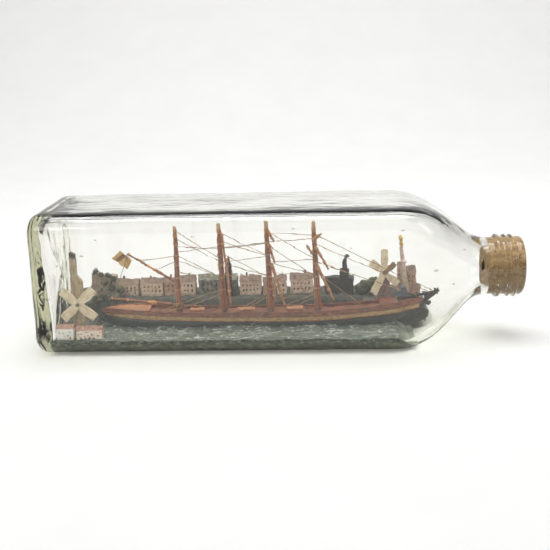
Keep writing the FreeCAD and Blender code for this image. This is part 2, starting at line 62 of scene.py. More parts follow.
def fbm(x, y, z, s, oct=4, seed=0.0):
    v, a, t = 0.0, 1.0, 0.0
    for i in range(oct):
        v += a * nz(x, y, z, s, seed + i * 1.7)
        t += a
        a *= 0.52
        s *= 2.07
    return v / t


def smooth(t):
    t = max(0.0, min(1.0, t))
    return t * t * (3 - 2 * t)


def new_mesh(name, verts, faces, material, body="root", replaces=(), smooth_shade=True, slot=None, attrs=None):
    me = bpy.data.meshes.new(name)
    me.from_pydata([((v[0] + CX) * MM, v[1] * MM, v[2] * MM) for v in verts], [], faces)
    me.validate()
    me.update()
    for p in me.polygons:
        p.use_smooth = smooth_shade
    if attrs:
        for key, vals in attrs.items():
            a = me.attributes.new(key, "FLOAT", "POINT")
            a.data.foreach_set("value", vals)
    o = bpy.data.objects.new(name, me)
    bpy.context.scene.collection.objects.link(o)
    me.materials.append(material)
    if body:
        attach(o, body)
    if replaces:
        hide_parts(*replaces)
    return o


class Bag:
    """Collects pieces of mesh into one."""

    def __init__(self):
        self.v, self.f = [], []

    def add(self, verts, faces):
        k = len(self.v)
        self.v += [tuple(p) for p in verts]
        self.f += [[i + k for i in f] for f in faces]


def tube(points, r, sides=8, caps=True, radius_fn=None, twist=0.0):
    """Round tube through points, in millimetres."""
    P = [Vector(p) for p in points]
    verts, faces = [], []
    up = Vector((0, 0, 1))
    prev = None
    for i, p in enumerate(P):
        d = (P[min(i + 1, len(P) - 1)] - P[max(i - 1, 0)]).normalized()
        if prev is None:
            a = d.cross(up)
            if a.length < 1e-3:
                a = d.cross(Vector((1, 0, 0)))
            a.normalize()
        else:
            a = (prev - d * prev.dot(d))
            a = a.normalized() if a.length > 1e-6 else d.orthogonal().normalized()
        prev = a
        b = d.cross(a)
        rr = r * (radius_fn(i / max(1, len(P) - 1)) if radius_fn else 1.0)
        for k in range(sides):
            t = 2 * math.pi * k / sides + twist * i
            verts.append(p + a * (rr * math.cos(t)) + b * (rr * math.sin(t)))
    for i in range(len(P) - 1):
        for k in range(sides):
            j = (k + 1) % sides
            faces.append([i * sides + k, i * sides + j, (i + 1) * sides + j, (i + 1) * sides + k])
    if caps:
        faces.append(list(range(sides))[::-1])
        faces.append([(len(P) - 1) * sides + k for k in range(sides)])
    return verts, faces


def carve(verts, faces, bevel=0.22, cuts=2, wobble=0.06, seed=1.0, freq=0.5):
    """A hand-cut block: bevelled edges and slightly uneven faces. Returns verts and faces in millimetres."""
    bm = bmesh.new()
    vs = [bm.verts.new(v) for v in verts]
    for f in faces:
        bm.faces.new([vs[i] for i in f])
    bmesh.ops.recalc_face_normals(bm, faces=bm.faces)
    if bevel:
        bmesh.ops.bevel(bm, geom=list(bm.edges), offset=bevel, offset_type="OFFSET", segments=2, profile=0.6, affect="EDGES", clamp_overlap=True)
    if cuts:
        long = [e for e in bm.edges if e.calc_length() > 1.2]
        bmesh.ops.subdivide_edges(bm, edges=long, cuts=cuts, use_grid_fill=True)
    for v in bm.verts:
        c = v.co
        v.co = c + Vector((nz(c.x, c.y, c.z, freq, seed), nz(c.x, c.y, c.z, freq, seed + 5), nz(c.x, c.y, c.z, freq, seed + 9))) * wobble * 2
    bm.verts.index_update()
    out = [tuple(v.co) for v in bm.verts], [[v.index for v in f.verts] for f in bm.faces]
    bm.free()
    return out


def block(x0, x1, y0, y1, z0, z1):
    v = [(x0, y0, z0), (x1, y0, z0), (x1, y1, z0), (x0, y1, z0), (x0, y0, z1), (x1, y0, z1), (x1, y1, z1), (x0, y1, z1)]
    return v, [[0, 3, 2, 1], [4, 5, 6, 7], [0, 1, 5, 4], [1, 2, 6, 5], [2, 3, 7, 6], [3, 0, 4, 7]]


def slab_xz(pts, y0, y1):
    """Prism of an outline drawn in X and Z."""
    n = len(pts)
    v = [(x, y0, z) for x, z in pts] + [(x, y1, z) for x, z in pts]
    return v, [list(range(n)), [n + i for i in range(n)][::-1]] + [[i, (i + 1) % n, n + (i + 1) % n, n + i] for i in range(n)]


def roof(x0, x1, y0, y1, z0, z1, over=0.35):
    v = []
    for x in (x0 - over, x1 + over):
        v += [(x, y0 - over, z0), (x, y1 + over, z0), (x, (y0 + y1) / 2, z1)]
    return v, [[0, 1, 2], [3, 5, 4], [0, 3, 4, 1], [1, 4, 5, 2], [2, 5, 3, 0]]


# ---------------------------------------------------------------- materials
class NT:
    def __init__(self, name):
        self.m = bpy.data.materials.new(name)
        self.m.use_nodes = True
        self.t = self.m.node_tree
        self.t.nodes.clear()
        self.out = self.t.nodes.new("ShaderNodeOutputMaterial")

    def n(self, kind, props=None, **inputs):
        node = self.t.nodes.new("ShaderNode" + kind)
        for k, v in (props or {}).items():
            setattr(node, k, v)
        for k, v in inputs.items():
            self.put(node, k.replace("_", " "), v)
        return node

    def put(self, node, key, v):
        s = node.inputs[int(key[1:])] if key.startswith("#") else node.inputs[key]
        if isinstance(v, bpy.types.NodeSocket):
            self.t.links.new(v, s)
        else:
            s.default_value = v

    def coords(self, sx=1.0, sy=1.0, sz=1.0, rot=(0, 0, 0)):
        tc = self.n("TexCoord")
        mp = self.n("Mapping")
        self.t.links.new(tc.outputs["Object"], mp.inputs["Vector"])
        mp.inputs["Scale"].default_value = (1000 * sx, 1000 * sy, 1000 * sz)
        mp.inputs["Rotation"].default_value = rot
        return mp.outputs["Vector"]

    def noise(self, vec, scale, detail=5, rough=0.55, dist=0.0):
        x = self.n("TexNoise", None, Vector=vec, Scale=scale, Detail=detail, Roughness=rough, Distortion=dist)
        return x.outputs["Fac"]

    def voronoi(self, vec, scale, feature="F1"):
        x = self.n("TexVoronoi", {"feature": feature}, Vector=vec, Scale=scale)
        return x.outputs["Distance"]

    def ramp(self, fac, stops):
        r = self.n("ValToRGB")
        self.t.links.new(fac, r.inputs["Fac"])
        e = r.color_ramp.elements
        while len(e) < len(stops):
            e.new(0.5)
        for el, (p, c) in zip(e, stops):
            el.position = p
            el.color = c if len(c) == 4 else (*c, 1)
        return r.outputs["Color"]

    def step(self, fac, a, b, lo=0.0, hi=1.0):
        m = self.n("MapRange", {"clamp": True})
        self.t.links.new(fac, m.inputs["Value"])
        m.inputs["From Min"].default_value = a
        m.inputs["From Max"].default_value = b
        m.inputs["To Min"].default_value = lo
        m.inputs["To Max"].default_value = hi
        return m.outputs["Result"]

    def mix(self, fac, a, b, mode="MIX"):
        m = self.n("Mix", {"data_type": "RGBA", "blend_type": mode})
        for key, v in ((0, fac), (6, a), (7, b)):
            if isinstance(v, bpy.types.NodeSocket):
                self.t.links.new(v, m.inputs[key])
            else:
                m.inputs[key].default_value = v
        return m.outputs[2]

    def math(self, op, a, b=0.0):
        m = self.n("Math", {"operation": op})
        for i, v in enumerate((a, b)):
            if isinstance(v, bpy.types.NodeSocket):
                self.t.links.new(v, m.inputs[i])
            else:
                m.inputs[i].default_value = v
        return m.outputs[0]

    def bump(self, height, strength, dist_mm, normal=None):
        b = self.n("Bump", None, Strength=strength, Distance=dist_mm * MM, Height=height)
        if normal is not None:
            self.t.links.new(normal, b.inputs["Normal"])
        return b.outputs["Normal"]

    def finish(self, color, rough, normal=None, **kw):
        p = self.n("BsdfPrincipled")
        self.put(p, "Base Color", color)
        self.put(p, "Roughness", rough)
        for k, v in kw.items():
            self.put(p, k.replace("_", " "), v)
        if normal is not None:
            self.t.links.new(normal, p.inputs["Normal"])
        self.t.links.new(p.outputs["BSDF"], self.out.inputs["Surface"])
        return self.m


def wood(name, dark, mid, light, axis="X", fine=2.4, rough=0.5, coat=0.0, stain=None, stain_amt=0.5, bump=0.35, tip=None, section=None):
    t = NT(name)
    s = {"X": (0.13, 1, 1), "Y": (1, 0.13, 1), "Z": (1, 1, 0.13)}[axis]
    v = t.coords(*s)
    g = t.noise(v, fine, 8, 0.62, 0.7)
    col = t.ramp(g, [(0.30, dark), (0.48, mid), (0.70, light)])
    big = t.noise(t.coords(), 0.45, 3, 0.6, 0.3)
    if stain:
        col = t.mix(t.step(big, 0.42, 0.68, 0.0, stain_amt), col, stain)
    pores = t.noise(v, fine * 5, 3, 0.6)
    col = t.mix(t.step(pores, 0.62, 0.78, 0.0, 0.55), col, dark)
    if tip:
        tc = t.n("TexCoord")
        sep = t.n("SeparateXYZ")
        t.t.links.new(tc.outputs["Object"], sep.inputs[0])
        z = t.math("ADD", sep.outputs[2], t.math("MULTIPLY", big, 0.0016))
        col = t.mix(t.step(z, tip[0] * MM, tip[1] * MM), col, tip[2])
    if section:
        tc = t.n("TexCoord")
        sep = t.n("SeparateXYZ")
        t.t.links.new(tc.outputs["Object"], sep.inputs[0])
        a = t.step(sep.outputs[0], section[0] * MM, (section[0] + 0.5) * MM)
        b = t.step(sep.outputs[0], section[1] * MM, (section[1] + 0.5) * MM, 1.0, 0.0)
        col = t.mix(t.math("MULTIPLY", a, b), col, section[2])
    ro = t.step(big, 0.3, 0.7, rough - 0.1, rough + 0.14)
    return t.finish(col, ro, t.bump(g, bump, 0.12), Coat_Weight=coat, Coat_Roughness=0.25)


def paint(name, base, alt, dirt, scale=0.7, rough=0.62, chip=None, chip_at=0.66, stroke=(1, 1, 1), spots=None, bump=0.35, coat=0.0, low=None):
    t = NT(name)
    v = t.coords(*stroke)
    a = t.noise(v, scale, 6, 0.65, 0.5)
    b = t.noise(t.coords(), scale * 3.1, 5, 0.6, 0.4)
    col = t.ramp(a, [(0.32, dirt), (0.47, base), (0.62, alt)])
    col = t.mix(t.step(b, 0.45, 0.75, 0.0, 0.5), col, dirt)
    if spots:
        vo = t.voronoi(t.coords(), spots[1])
        col = t.mix(t.step(vo, spots[2], spots[2] + 0.08, 0.85, 0.0), col, spots[0])
    if chip:
        c = t.noise(t.coords(), scale * 5.5, 4, 0.7, 1.0)
        col = t.mix(t.step(c, chip_at, chip_at + 0.03), col, chip)
    if low:
        tc = t.n("TexCoord")
        sep = t.n("SeparateXYZ")
        t.t.links.new(tc.outputs["Object"], sep.inputs[0])
        z = t.math("ADD", sep.outputs[2], t.math("MULTIPLY", a, 0.003))
        col = t.mix(t.step(z, low[0] * MM, low[1] * MM, 0.9, 0.0), col, low[2])
    ro = t.step(b, 0.3, 0.7, rough - 0.12, min(1, rough + 0.15))
    h = t.math("ADD", a, t.math("MULTIPLY", b, 0.6))
    return t.finish(col, ro, t.bump(h, bump, 0.16), Coat_Weight=coat, Coat_Roughness=0.3)


M_MAST = wood("mast_wood", rgb(74, 36, 22), rgb(146, 80, 48), rgb(190, 112, 70), "Z", 2.2, 0.45, 0.15, tip=(56.5, 60.5, rgb(205, 172, 135)))
M_YARD = wood("yard_wood", rgb(112, 66, 40), rgb(172, 112, 70), rgb(206, 158, 108), "Z", 2.4, 0.55, 0.0, stain=rgb(120, 60, 38), stain_amt=0.5)
M_GAFF = wood("gaff_wood", rgb(84, 42, 24), rgb(140, 78, 48), rgb(176, 110, 66), "X", 2.4, 0.48, 0.1, section=(-70.2, -65.6, rgb(214, 146, 84)))
M_BAND = wood("band_wood", rgb(62, 34, 22), rgb(120, 66, 36), rgb(182, 116, 66), "X", 1.9, 0.40, 0.25, stain=rgb(84, 50, 32), stain_amt=0.8)
M_POOP = wood("poop_wood", rgb(100, 62, 36), rgb(158, 102, 60), rgb(190, 136, 86), "X", 1.6, 0.45, 0.2)
M_STRIPE = paint("stripe_paint", rgb(178, 138, 92), rgb(204, 172, 122), rgb(104, 76, 46), 1.2, 0.45, chip=rgb(142, 138, 58), chip_at=0.57, stroke=(0.35, 1, 1))
M_RAIL = wood("rail_wood", rgb(66, 32, 18), rgb(112, 58, 32), rgb(150, 84, 46), "X", 2.4, 0.45, 0.2)
M_HULL = paint("hull_paint", rgb(34, 42, 34), rgb(52, 62, 50), rgb(18, 20, 17), 0.8, 0.42, chip=rgb(96, 74, 50), chip_at=0.70, stroke=(0.3, 1, 1), coat=0.25)
M_DARK = paint("dark_paint", rgb(44, 42, 36), rgb(74, 66, 54), rgb(22, 22, 20), 1.1, 0.7, chip=rgb(140, 130, 110), chip_at=0.72, bump=0.8)
M_SAIL = wood("sail_wood", rgb(204, 182, 148), rgb(236, 220, 190), rgb(246, 236, 212), "X", 2.0, 0.66, 0.0, stain=rgb(176, 144, 100), stain_amt=0.5, bump=0.45)
M_TOWERL = wood("tower_wood", rgb(132, 112, 84), rgb(178, 158, 124), rgb(204, 186, 152), "Z", 1.7, 0.7, 0.0, stain=rgb(132, 106, 80), stain_amt=0.6)
M_POST = wood("post_wood", rgb(140, 120, 98), rgb(178, 160, 134), rgb(200, 186, 162), "Z", 1.5, 0.75, 0.0, stain=rgb(150, 126, 100), tip=(46.4, 47.6, rgb(60, 48, 38)))
M_WALL = paint("wall_paint", rgb(232, 206, 184), rgb(242, 222, 202), rgb(196, 160, 140), 0.55, 0.8, chip=rgb(206, 180, 160), chip_at=0.70, low=(18.0, 21.0, rgb(92, 78, 66)))
M_WALL2 = paint("wall_paint_brown", rgb(196, 158, 136), rgb(214, 182, 158), rgb(146, 114, 98), 0.6, 0.8, chip=rgb(180, 150, 128), chip_at=0.72)
M_KEEP = paint("keep_paint", rgb(166, 148, 132), rgb(192, 176, 156), rgb(104, 94, 86), 0.6, 0.8, chip=rgb(164, 150, 130), chip_at=0.70, bump=0.8)
M_HALL = paint("hall_paint", rgb(120, 118, 108), rgb(150, 146, 130), rgb(82, 80, 72), 0.5, 0.8, chip=rgb(150, 146, 132), chip_at=0.72)
M_ROOF = paint("roof_paint", rgb(120, 98, 84), rgb(148, 122, 104), rgb(80, 66, 58), 0.6, 0.75, chip=rgb(160, 126, 100), chip_at=0.72, stroke=(1, 0.4, 0.4))
M_ROOF_RED = paint("roof_red_paint", rgb(150, 108, 92), rgb(188, 156, 136), rgb(110, 66, 54), 0.8, 0.7, chip=rgb(200, 150, 126), chip_at=0.68)
M_WHITE = paint("white_paint", rgb(250, 248, 242), rgb(253, 252, 248), rgb(222, 212, 196), 0.8, 0.7, chip=rgb(168, 140, 118), chip_at=0.71)
M_PINK = paint("pink_paint", rgb(248, 234, 220), rgb(252, 244, 234), rgb(224, 190, 174), 0.9, 0.72, spots=(rgb(150, 92, 74), 0.62, 0.20), chip=rgb(136, 84, 66), chip_at=0.70)
M_SHAFT = paint("shaft_paint", rgb(216, 190, 180), rgb(230, 212, 202), rgb(176, 140, 130), 0.8, 0.7, chip=rgb(150, 112, 96), chip_at=0.72, low=(26.0, 37.0, rgb(196, 182, 160)))
M_YELLOW = paint("lantern_paint", rgb(214, 176, 74), rgb(226, 196, 110), rgb(150, 116, 46), 1.2, 0.5, chip=rgb(90, 96, 50), chip_at=0.66)
M_RWALL = paint("mill_paint", rgb(134, 102, 98), rgb(156, 124, 116), rgb(92, 66, 66), 0.7, 0.75, chip=rgb(176, 150, 134), chip_at=0.72)
M_BLUE = paint("slate_paint", rgb(84, 92, 100), rgb(108, 116, 122), rgb(54, 58, 64), 0.7, 0.7, chip=rgb(150, 146, 140), chip_at=0.74)
M_WINDOW = paint("window_paint", rgb(52, 38, 34), rgb(70, 54, 46), rgb(30, 24, 22), 2.0, 0.6)
M_THREAD = wood("thread_fibre", rgb(92, 70, 46), rgb(150, 122, 84), rgb(190, 164, 122), "Z", 6.0, 0.85, 0.0, bump=0.5)
M_KNOT = wood("knot_fibre", rgb(150, 96, 52), rgb(200, 158, 108), rgb(222, 196, 152), "Z", 5.0, 0.85, 0.0, stain=rgb(176, 104, 56), stain_amt=0.7, bump=0.7)
M_WIRE = paint("wire_metal", rgb(120, 108, 92), rgb(150, 138, 120), rgb(74, 62, 50), 2.0, 0.4)


def steel_wire(m):
    p = [n for n in m.node_tree.nodes if n.type == "BSDF_PRINCIPLED"][0]
    p.inputs["Metallic"].default_value = 0.8


steel_wire(M_WIRE)


def deck_material():
    t = NT("deck_planks")
    v = t.coords(0.13, 1, 1)
    g = t.noise(v, 2.6, 8, 0.62, 0.5)
    col = t.ramp(g, [(0.3, rgb(60, 30, 20)), (0.5, rgb(100, 54, 34)), (0.7, rgb(138, 80, 50))])
    w = t.n("TexWave", {"wave_type": "BANDS", "bands_direction": "Y", "wave_profile": "SIN"}, Vector=t.coords(), Scale=0.33, Distortion=0.25)
    seam = t.step(w.outputs["Fac"], 0.0, 0.10, 1.0, 0.0)
    col = t.mix(t.math("MULTIPLY", seam, 0.8), col, rgb(40, 20, 14))
    big = t.noise(t.coords(), 0.3, 3)
    col = t.mix(t.step(big, 0.45, 0.7, 0.0, 0.6), col, rgb(176, 106, 62))
    h = t.math("SUBTRACT", g, seam)
    return t.finish(col, t.step(big, 0.3, 0.7, 0.42, 0.62), t.bump(h, 0.5, 0.12))


M_DECK = deck_material()


def cork_material():
    t = NT("cork")
    v = t.coords(0.8, 1, 1)
    a = t.noise(v, 0.55, 6, 0.65, 0.6)
    col = t.ramp(a, [(0.3, rgb(116, 88, 56)), (0.47, rgb(160, 128, 86)), (0.66, rgb(194, 164, 116))])
    grain = t.noise(t.coords(1.4, 1.4, 1.4), 2.6, 4, 0.7)
    col = t.mix(t.step(grain, 0.55, 0.75, 0.0, 0.7), col, rgb(122, 82, 50))
    pits = t.voronoi(t.coords(0.45, 1, 1), 0.62)
    pit = t.step(pits, 0.10, 0.22, 1.0, 0.0)
    col = t.mix(pit, col, rgb(74, 46, 28))
    h = t.math("SUBTRACT", t.math("MULTIPLY", grain, 0.5), pit)
    return t.finish(col, t.step(a, 0.3, 0.7, 0.7, 0.9), t.bump(h, 0.8, 0.35))


M_CORK = cork_material()


def putty_sea():
    t = NT("sea_putty")
    at = t.n("Attribute", {"attribute_name": "crest_and_painted_front_light"})
    v = t.coords(0.45, 1, 1)
    a = t.noise(v, 0.42, 7, 0.66, 1.1)
    b = t.noise(t.coords(0.6, 1, 1), 1.6, 5, 0.62, 0.8)
    col = t.ramp(a, [(0.28, rgb(30, 38, 32)), (0.44, rgb(54, 63, 53)), (0.56, rgb(84, 92, 78)), (0.70, rgb(132, 138, 122))])
    col = t.mix(t.step(b, 0.50, 0.72, 0.0, 0.5), col, rgb(58, 70, 62))
    # white where this attribute is high: real wave crests on top, and painted light on the front skirt, where the
    # shaded front face of the putty is lightened
    k = t.math("ADD", at.outputs["Fac"], t.math("MULTIPLY", t.math("SUBTRACT", b, 0.5), 1.1))
    col = t.mix(t.step(k, 0.50, 0.80, 0.0, 0.85), col, rgb(188, 196, 186))
    c = t.noise(v, 2.6, 4, 0.7, 1.6)
    col = t.mix(t.step(c, 0.66, 0.74, 0.0, 0.6), col, rgb(200, 204, 194))
    # painted light: below 7.6 mm the front face of the putty, which lies in shade, is lightened towards a pale
    # grey-green
    tc = t.n("TexCoord")
    sep = t.n("SeparateXYZ")
    t.t.links.new(tc.outputs["Object"], sep.inputs[0])
    z = t.math("ADD", sep.outputs[2], t.math("MULTIPLY", a, 0.0015))
    col = t.mix(t.step(z, 4.6 * MM, 7.6 * MM, 0.42, 0.0), col, rgb(196, 198, 178))
    h = t.math("ADD", a, t.math("MULTIPLY", b, 0.7))
    return t.finish(col, t.step(b, 0.3, 0.7, 0.38, 0.6), t.bump(h, 0.7, 0.35), Coat_Weight=0.2, Coat_Roughness=0.3)


M_SEA = putty_sea()
M_SHORE = paint("shore_putty", rgb(64, 66, 56), rgb(88, 88, 72), rgb(36, 38, 34), 0.5, 0.75, chip=rgb(120, 116, 92), chip_at=0.68, bump=0.9)
M_LEAF = paint("foliage", rgb(66, 72, 50), rgb(98, 100, 66), rgb(34, 38, 28), 0.9, 0.8, chip=rgb(136, 126, 78), chip_at=0.62, bump=1.0)


def paper():
    t = NT("aged_paper")
    a = t.noise(t.coords(), 0.34, 6, 0.62, 0.8)
    col = t.ramp(a, [(0.30, rgb(176, 128, 66)), (0.48, rgb(212, 172, 104)), (0.68, rgb(226, 196, 136))])
    tc = t.n("TexCoord")
    d = t.n("VectorMath", {"operation": "DOT_PRODUCT"})
    t.t.links.new(tc.outputs["Object"], d.inputs[0])
    d.inputs[1].default_value = (1000 * 0.64, 0, 1000 * -0.77)
    s = t.math("ADD", d.outputs["Value"], t.math("MULTIPLY", a, 1.6))
    band = t.math("MULTIPLY", t.step(s, -88.1, -87.5), t.step(s, -85.9, -85.1, 1.0, 0.0))
    col = t.mix(t.math("MULTIPLY", band, 0.85), col, rgb(118, 74, 40))
    f = t.noise(t.coords(), 3.5, 5, 0.7)
    col = t.mix(t.step(f, 0.62, 0.72, 0.0, 0.5), col, rgb(120, 80, 42))
    return t.finish(col, t.step(f, 0.3, 0.7, 0.6, 0.8), t.bump(f, 0.4, 0.08))


M_PAPER = paper()


def glass():
    t = NT("bottle_glass")
    p = t.n("BsdfPrincipled")
    p.inputs["Base Color"].default_value = (1, 1, 1, 1)
    p.inputs["Roughness"].default_value = 0.0
    p.inputs["IOR"].default_value = 1.5
    p.inputs["Transmission Weight"].default_value = 1.0
    b = t.noise(t.coords(0.5, 1, 1), 0.10, 3, 0.5, 0.4)
    fine = t.noise(t.coords(0.4, 1, 1), 0.5, 2, 0.5)
    h = t.math("ADD", b, t.math("MULTIPLY", fine, 0.06))
    t.t.links.new(t.bump(h, 0.35, 0.5), p.inputs["Normal"])
    tr = t.n("BsdfTransparent", None, Color=(0.95, 0.96, 0.945, 1))
    lp = t.n("LightPath")
    mx = t.n("MixShader")
    t.t.links.new(lp.outputs["Is Shadow Ray"], mx.inputs[0])
    t.t.links.new(p.outputs[0], mx.inputs[1])
    t.t.links.new(tr.outputs[0], mx.inputs[2])
    t.t.links.new(mx.outputs[0], t.out.inputs["Surface"])
    va = t.n("VolumeAbsorption", None, Color=(0.42, 0.42, 0.10, 1), Density=17.0)
    t.t.links.new(va.outputs[0], t.out.inputs["Volume"])
    return t.m


M_GLASS = glass()

# ---------------------------------------------------------------- the bottle
AXZ = 36.0
XB, XL = -127.5, 127.5
OUT = [(56, 36, 9.5), (65, 35.3, 11.5), (73, 33.0, 14.5), (80, 29.2, 16.8), (87, 24.0, 17.6), (94, 18.6, 17.0), (99, 15.7, 15.3), (104, 14.9, 14.7)]


def curve(table, x, col):
    """Smooth curve through a table's rows."""
    n = len(table)
    if x <= table[0][0]:
        return table[0][col]
    for i in range(n - 1):
        if x <= table[i + 1][0]:
            a, b = table[i], table[i + 1]
            t = (x - a[0]) / (b[0] - a[0])
            p = table[max(0, i - 1)]
            q = table[min(n - 1, i + 2)]
            h = b[0] - a[0]
            d = (b[col] - a[col]) / h
            m0 = (b[col] - p[col]) / (b[0] - p[0]) if i > 0 else 0.0
            m1 = (q[col] - a[col]) / (q[0] - a[0]) if i < n - 2 else d
            if (m0 > 0) != (d > 0):
                m0 = 0
            if (m1 > 0) != (d > 0):
                m1 = 0
            return ((2 * t ** 3 - 3 * t ** 2 + 1) * a[col] + (t ** 3 - 2 * t ** 2 + t) * h * m0
                    + (-2 * t ** 3 + 3 * t ** 2) * b[col] + (t ** 3 - t ** 2) * h * m1)
    return table[-1][col]


ANG = []
_c = math.atan2(26.5, 36)
for q in range(4):
    for k in range(9):
        ANG.append(q * math.pi / 2 - _c + 2 * _c * k / 9)
    for k in range(11):
        ANG.append(q * math.pi / 2 + _c + (math.pi / 2 - 2 * _c) * k / 11)


def polar(a, h, r):
    c, s = abs(math.cos(a)), abs(math.sin(a))
    r = min(r, h)
    q = h - r
    if h * s <= q * c:
        return h / c
    if h * c <= q * s:
        return h / s
    k = q * (c + s)
    return k + math.sqrt(max(0.0, k * k - 2 * q * q + r * r))


def ring(x, h, r, wob=0.0, tilt=0.0, seed=0.0, add=None, dent=0.0):
    out = []
    for a in ANG:
        rr = polar(a, h, r)
        if add:
            rr += add(a)
        y, z = rr * math.cos(a), rr * math.sin(a)
        if wob:
            w = 1 + wob * nz(x, y, z, 0.045, seed) / max(h, 8)
            y, z = y * w, z * w
        out.append((x + tilt * (z / 32.0) + dent * (nz(y, z, 0, 0.11, seed + 5) + 0.5 * nz(y, z, 0, 0.27, seed + 6)), y, AXZ + z))
    return out


def build_bottle():
    rings = []
    # outside, from the middle of the base
    for f, x in ((0.03, XB + 2.6), (0.25, XB + 2.3), (0.5, XB + 1.6), (0.68, XB + 0.6), (0.76, XB + 0.08), (0.80, XB)):
        rings.append(ring(x + 0.5, 36 * f, 9.0 * f, 0.0, 0, 2.0, None, 0.5))
    for k in range(1, 9):
        a = k / 8 * math.pi / 2
        ins = 7 * (1 - math.sin(a))
        rings.append(ring(XB + 7 * (1 - math.cos(a)) + 0.45 * (1 - smooth(k / 5)), 36 - ins, max(3.5, 9.5 - ins), 0.25, 0, 2.0, None, 0.4 * (1 - smooth(k / 8))))
    x = XB + 11
    while x < 52:
        rings.append(ring(x, 36, 9.5, 0.22, 0, 1.0))
        x += 6.0
    x = 54.0
    while x < 104:
        rings.append(ring(x, curve(OUT, x, 1), curve(OUT, x, 2), 0.12, 0, 1.0))
        x += 1.5
    # finish with a bead and a thread
    prof = [(104, 14.9), (107.4, 14.9), (108.4, 15.4), (109.4, 16.35), (110.4, 16.5), (111.4, 16.35), (112.3, 15.5), (113.4, 15.2),
            (122.8, 15.2), (123.6, 15.3), (125.2, 15.2), (126.4, 14.7), (127.2, 13.8), (127.5, 12.9)]

    def thread(x):
        def f(a):
            d = 0.0
            t = (a % (2 * math.pi)) / (2 * math.pi)
            for turn in (-1, 0, 1, 2):
                xc = 114.6 + 4.0 * (t + turn)
                if 114.6 <= xc <= 122.4:
                    fade = smooth((xc - 114.6) / 0.9) * smooth((122.4 - xc) / 0.9)
                    d = max(d, fade * 1.25 * math.exp(-((x - xc) / 1.1) ** 2))
            return d
        return f
    fin = lambda x: 104.0 + (x - 104.0) * 0.8
    x = 104.0
    while x < 127.4:
        r = curve(prof, x, 1)
        rings.append(ring(fin(x), r, r, 0.0, 0, 0, thread(x) if 113.2 < x < 123.8 else None))
        x += 0.42
    rings.append(ring(fin(127.5), 12.9, 12.9))
    rings.append(ring(fin(127.5), 12.0, 12.0))
    rings.append(ring(fin(127.3), 11.3, 11.3))
    rings.append(ring(fin(126.6), 11.0, 11.0))
    # inside, from the bore to the base
    x = 120.0
    while x > 103:
        rings.append(ring(x, 11.0, 11.0))
        x -= 2.0
    INN = [(101.5, 11.02, 11.0), (99.0, 11.9, 11.7), (94, 14.8, 13.6), (86, 20.2, 14.0), (79, 25.4, 13.2), (72, 29.4, 11.0), (64.4, 31.7, 8.0), (56, 32.5, 6.0)]
    tab = INN[::-1]
    x = 101.5
    while x > 56:
        rings.append(ring(x, curve(tab, x, 1), curve(tab, x, 2), 0.10, 0, 3.0))
        x -= 1.5
    x = 54.0
    while x > -111:
        rings.append(ring(x, 32.5, 6.0, 0.16, 0, 3.0))
        x -= 6.0
    xe = -119.6
    for k in range(0, 9):
        a = k / 8 * math.pi / 2
        ins = 5 * (1 - math.cos(a))
        rings.append(ring(xe + 5 * (1 - math.sin(a)), 32.5 - ins, max(2.0, 6.0 - ins), 0.3, -1.7 * smooth(k / 8), 3.0, None, 0.9 * smooth(k / 8)))
    for f, dx in ((0.72, 0.0), (0.55, 0.3), (0.35, 0.9), (0.15, 1.3), (0.03, 1.4)):
        rings.append(ring(xe + dx * 0.6, 32.5 * f, 5 * f, 0.0, -1.7, 3.0, None, 0.9))
    n = len(ANG)
    v = [p for r in rings for p in r]
    f = []
    for i in range(len(rings) - 1):
        for k in range(n):
            j = (k + 1) % n
            f.append([i * n + k, (i + 1) * n + k, (i + 1) * n + j, i * n + j])
    f.append(list(range(n)))
    m = (len(rings) - 1) * n
    f.append([m + k for k in range(n)][::-1])
    # seed bubbles in the walls, as small voids
    bag = Bag()
    bag.add(v, f)
    spots = [(-99.5, -34.2, 52, 0.5), (-92, -34.1, 60, 0.35), (-44, -34.3, 61, 0.45), (58, -34.0, 62.5, 0.5), (74.5, -31.2, 41.5, 0.6), (-112, -34.2, 47, 0.4),
             (-105, -34.1, 42, 0.45), (-108, -34.3, 57, 0.35), (20, -34.2, 20, 0.3), (33, -34.3, 54, 0.3), (-63, -34.2, 25, 0.3), (68, -32.5, 29, 0.4), (84, -25.4, 33, 0.45),
             (-118, -34.0, 30, 0.5), (5, -34.3, 64, 0.35), (90, -19.0, 49, 0.4), (-80, 10, 70.2, 0.5), (40, -8, 70.2, 0.5), (-20, -20, 70.3, 0.4)]
    for sx, sy, sz, sr in spots:
        bm = bmesh.new()
        bmesh.ops.create_icosphere(bm, subdivisions=2, radius=1.0)
        vs = [(sx + q.co.x * sr * 1.9, sy + q.co.y * sr * 0.7, sz + q.co.z * sr * 0.8) for q in bm.verts]
        fs = [[q.index for q in fc.verts][::-1] for fc in bm.faces]
        bm.free()
        bag.add(vs, fs)
    o = new_mesh("glass_bottle", bag.v, bag.f, M_GLASS, "root", ["bottle"], True, "glass")
    bm = bmesh.new()
    bm.from_mesh(o.data)
    main = [fc for fc in bm.faces if len(fc.verts) != 3]
    bmesh.ops.recalc_face_normals(bm, faces=main)
    bm.to_mesh(o.data)
    bm.free()
    for p in o.data.polygons:
        p.use_smooth = True
    return o


build_bottle()


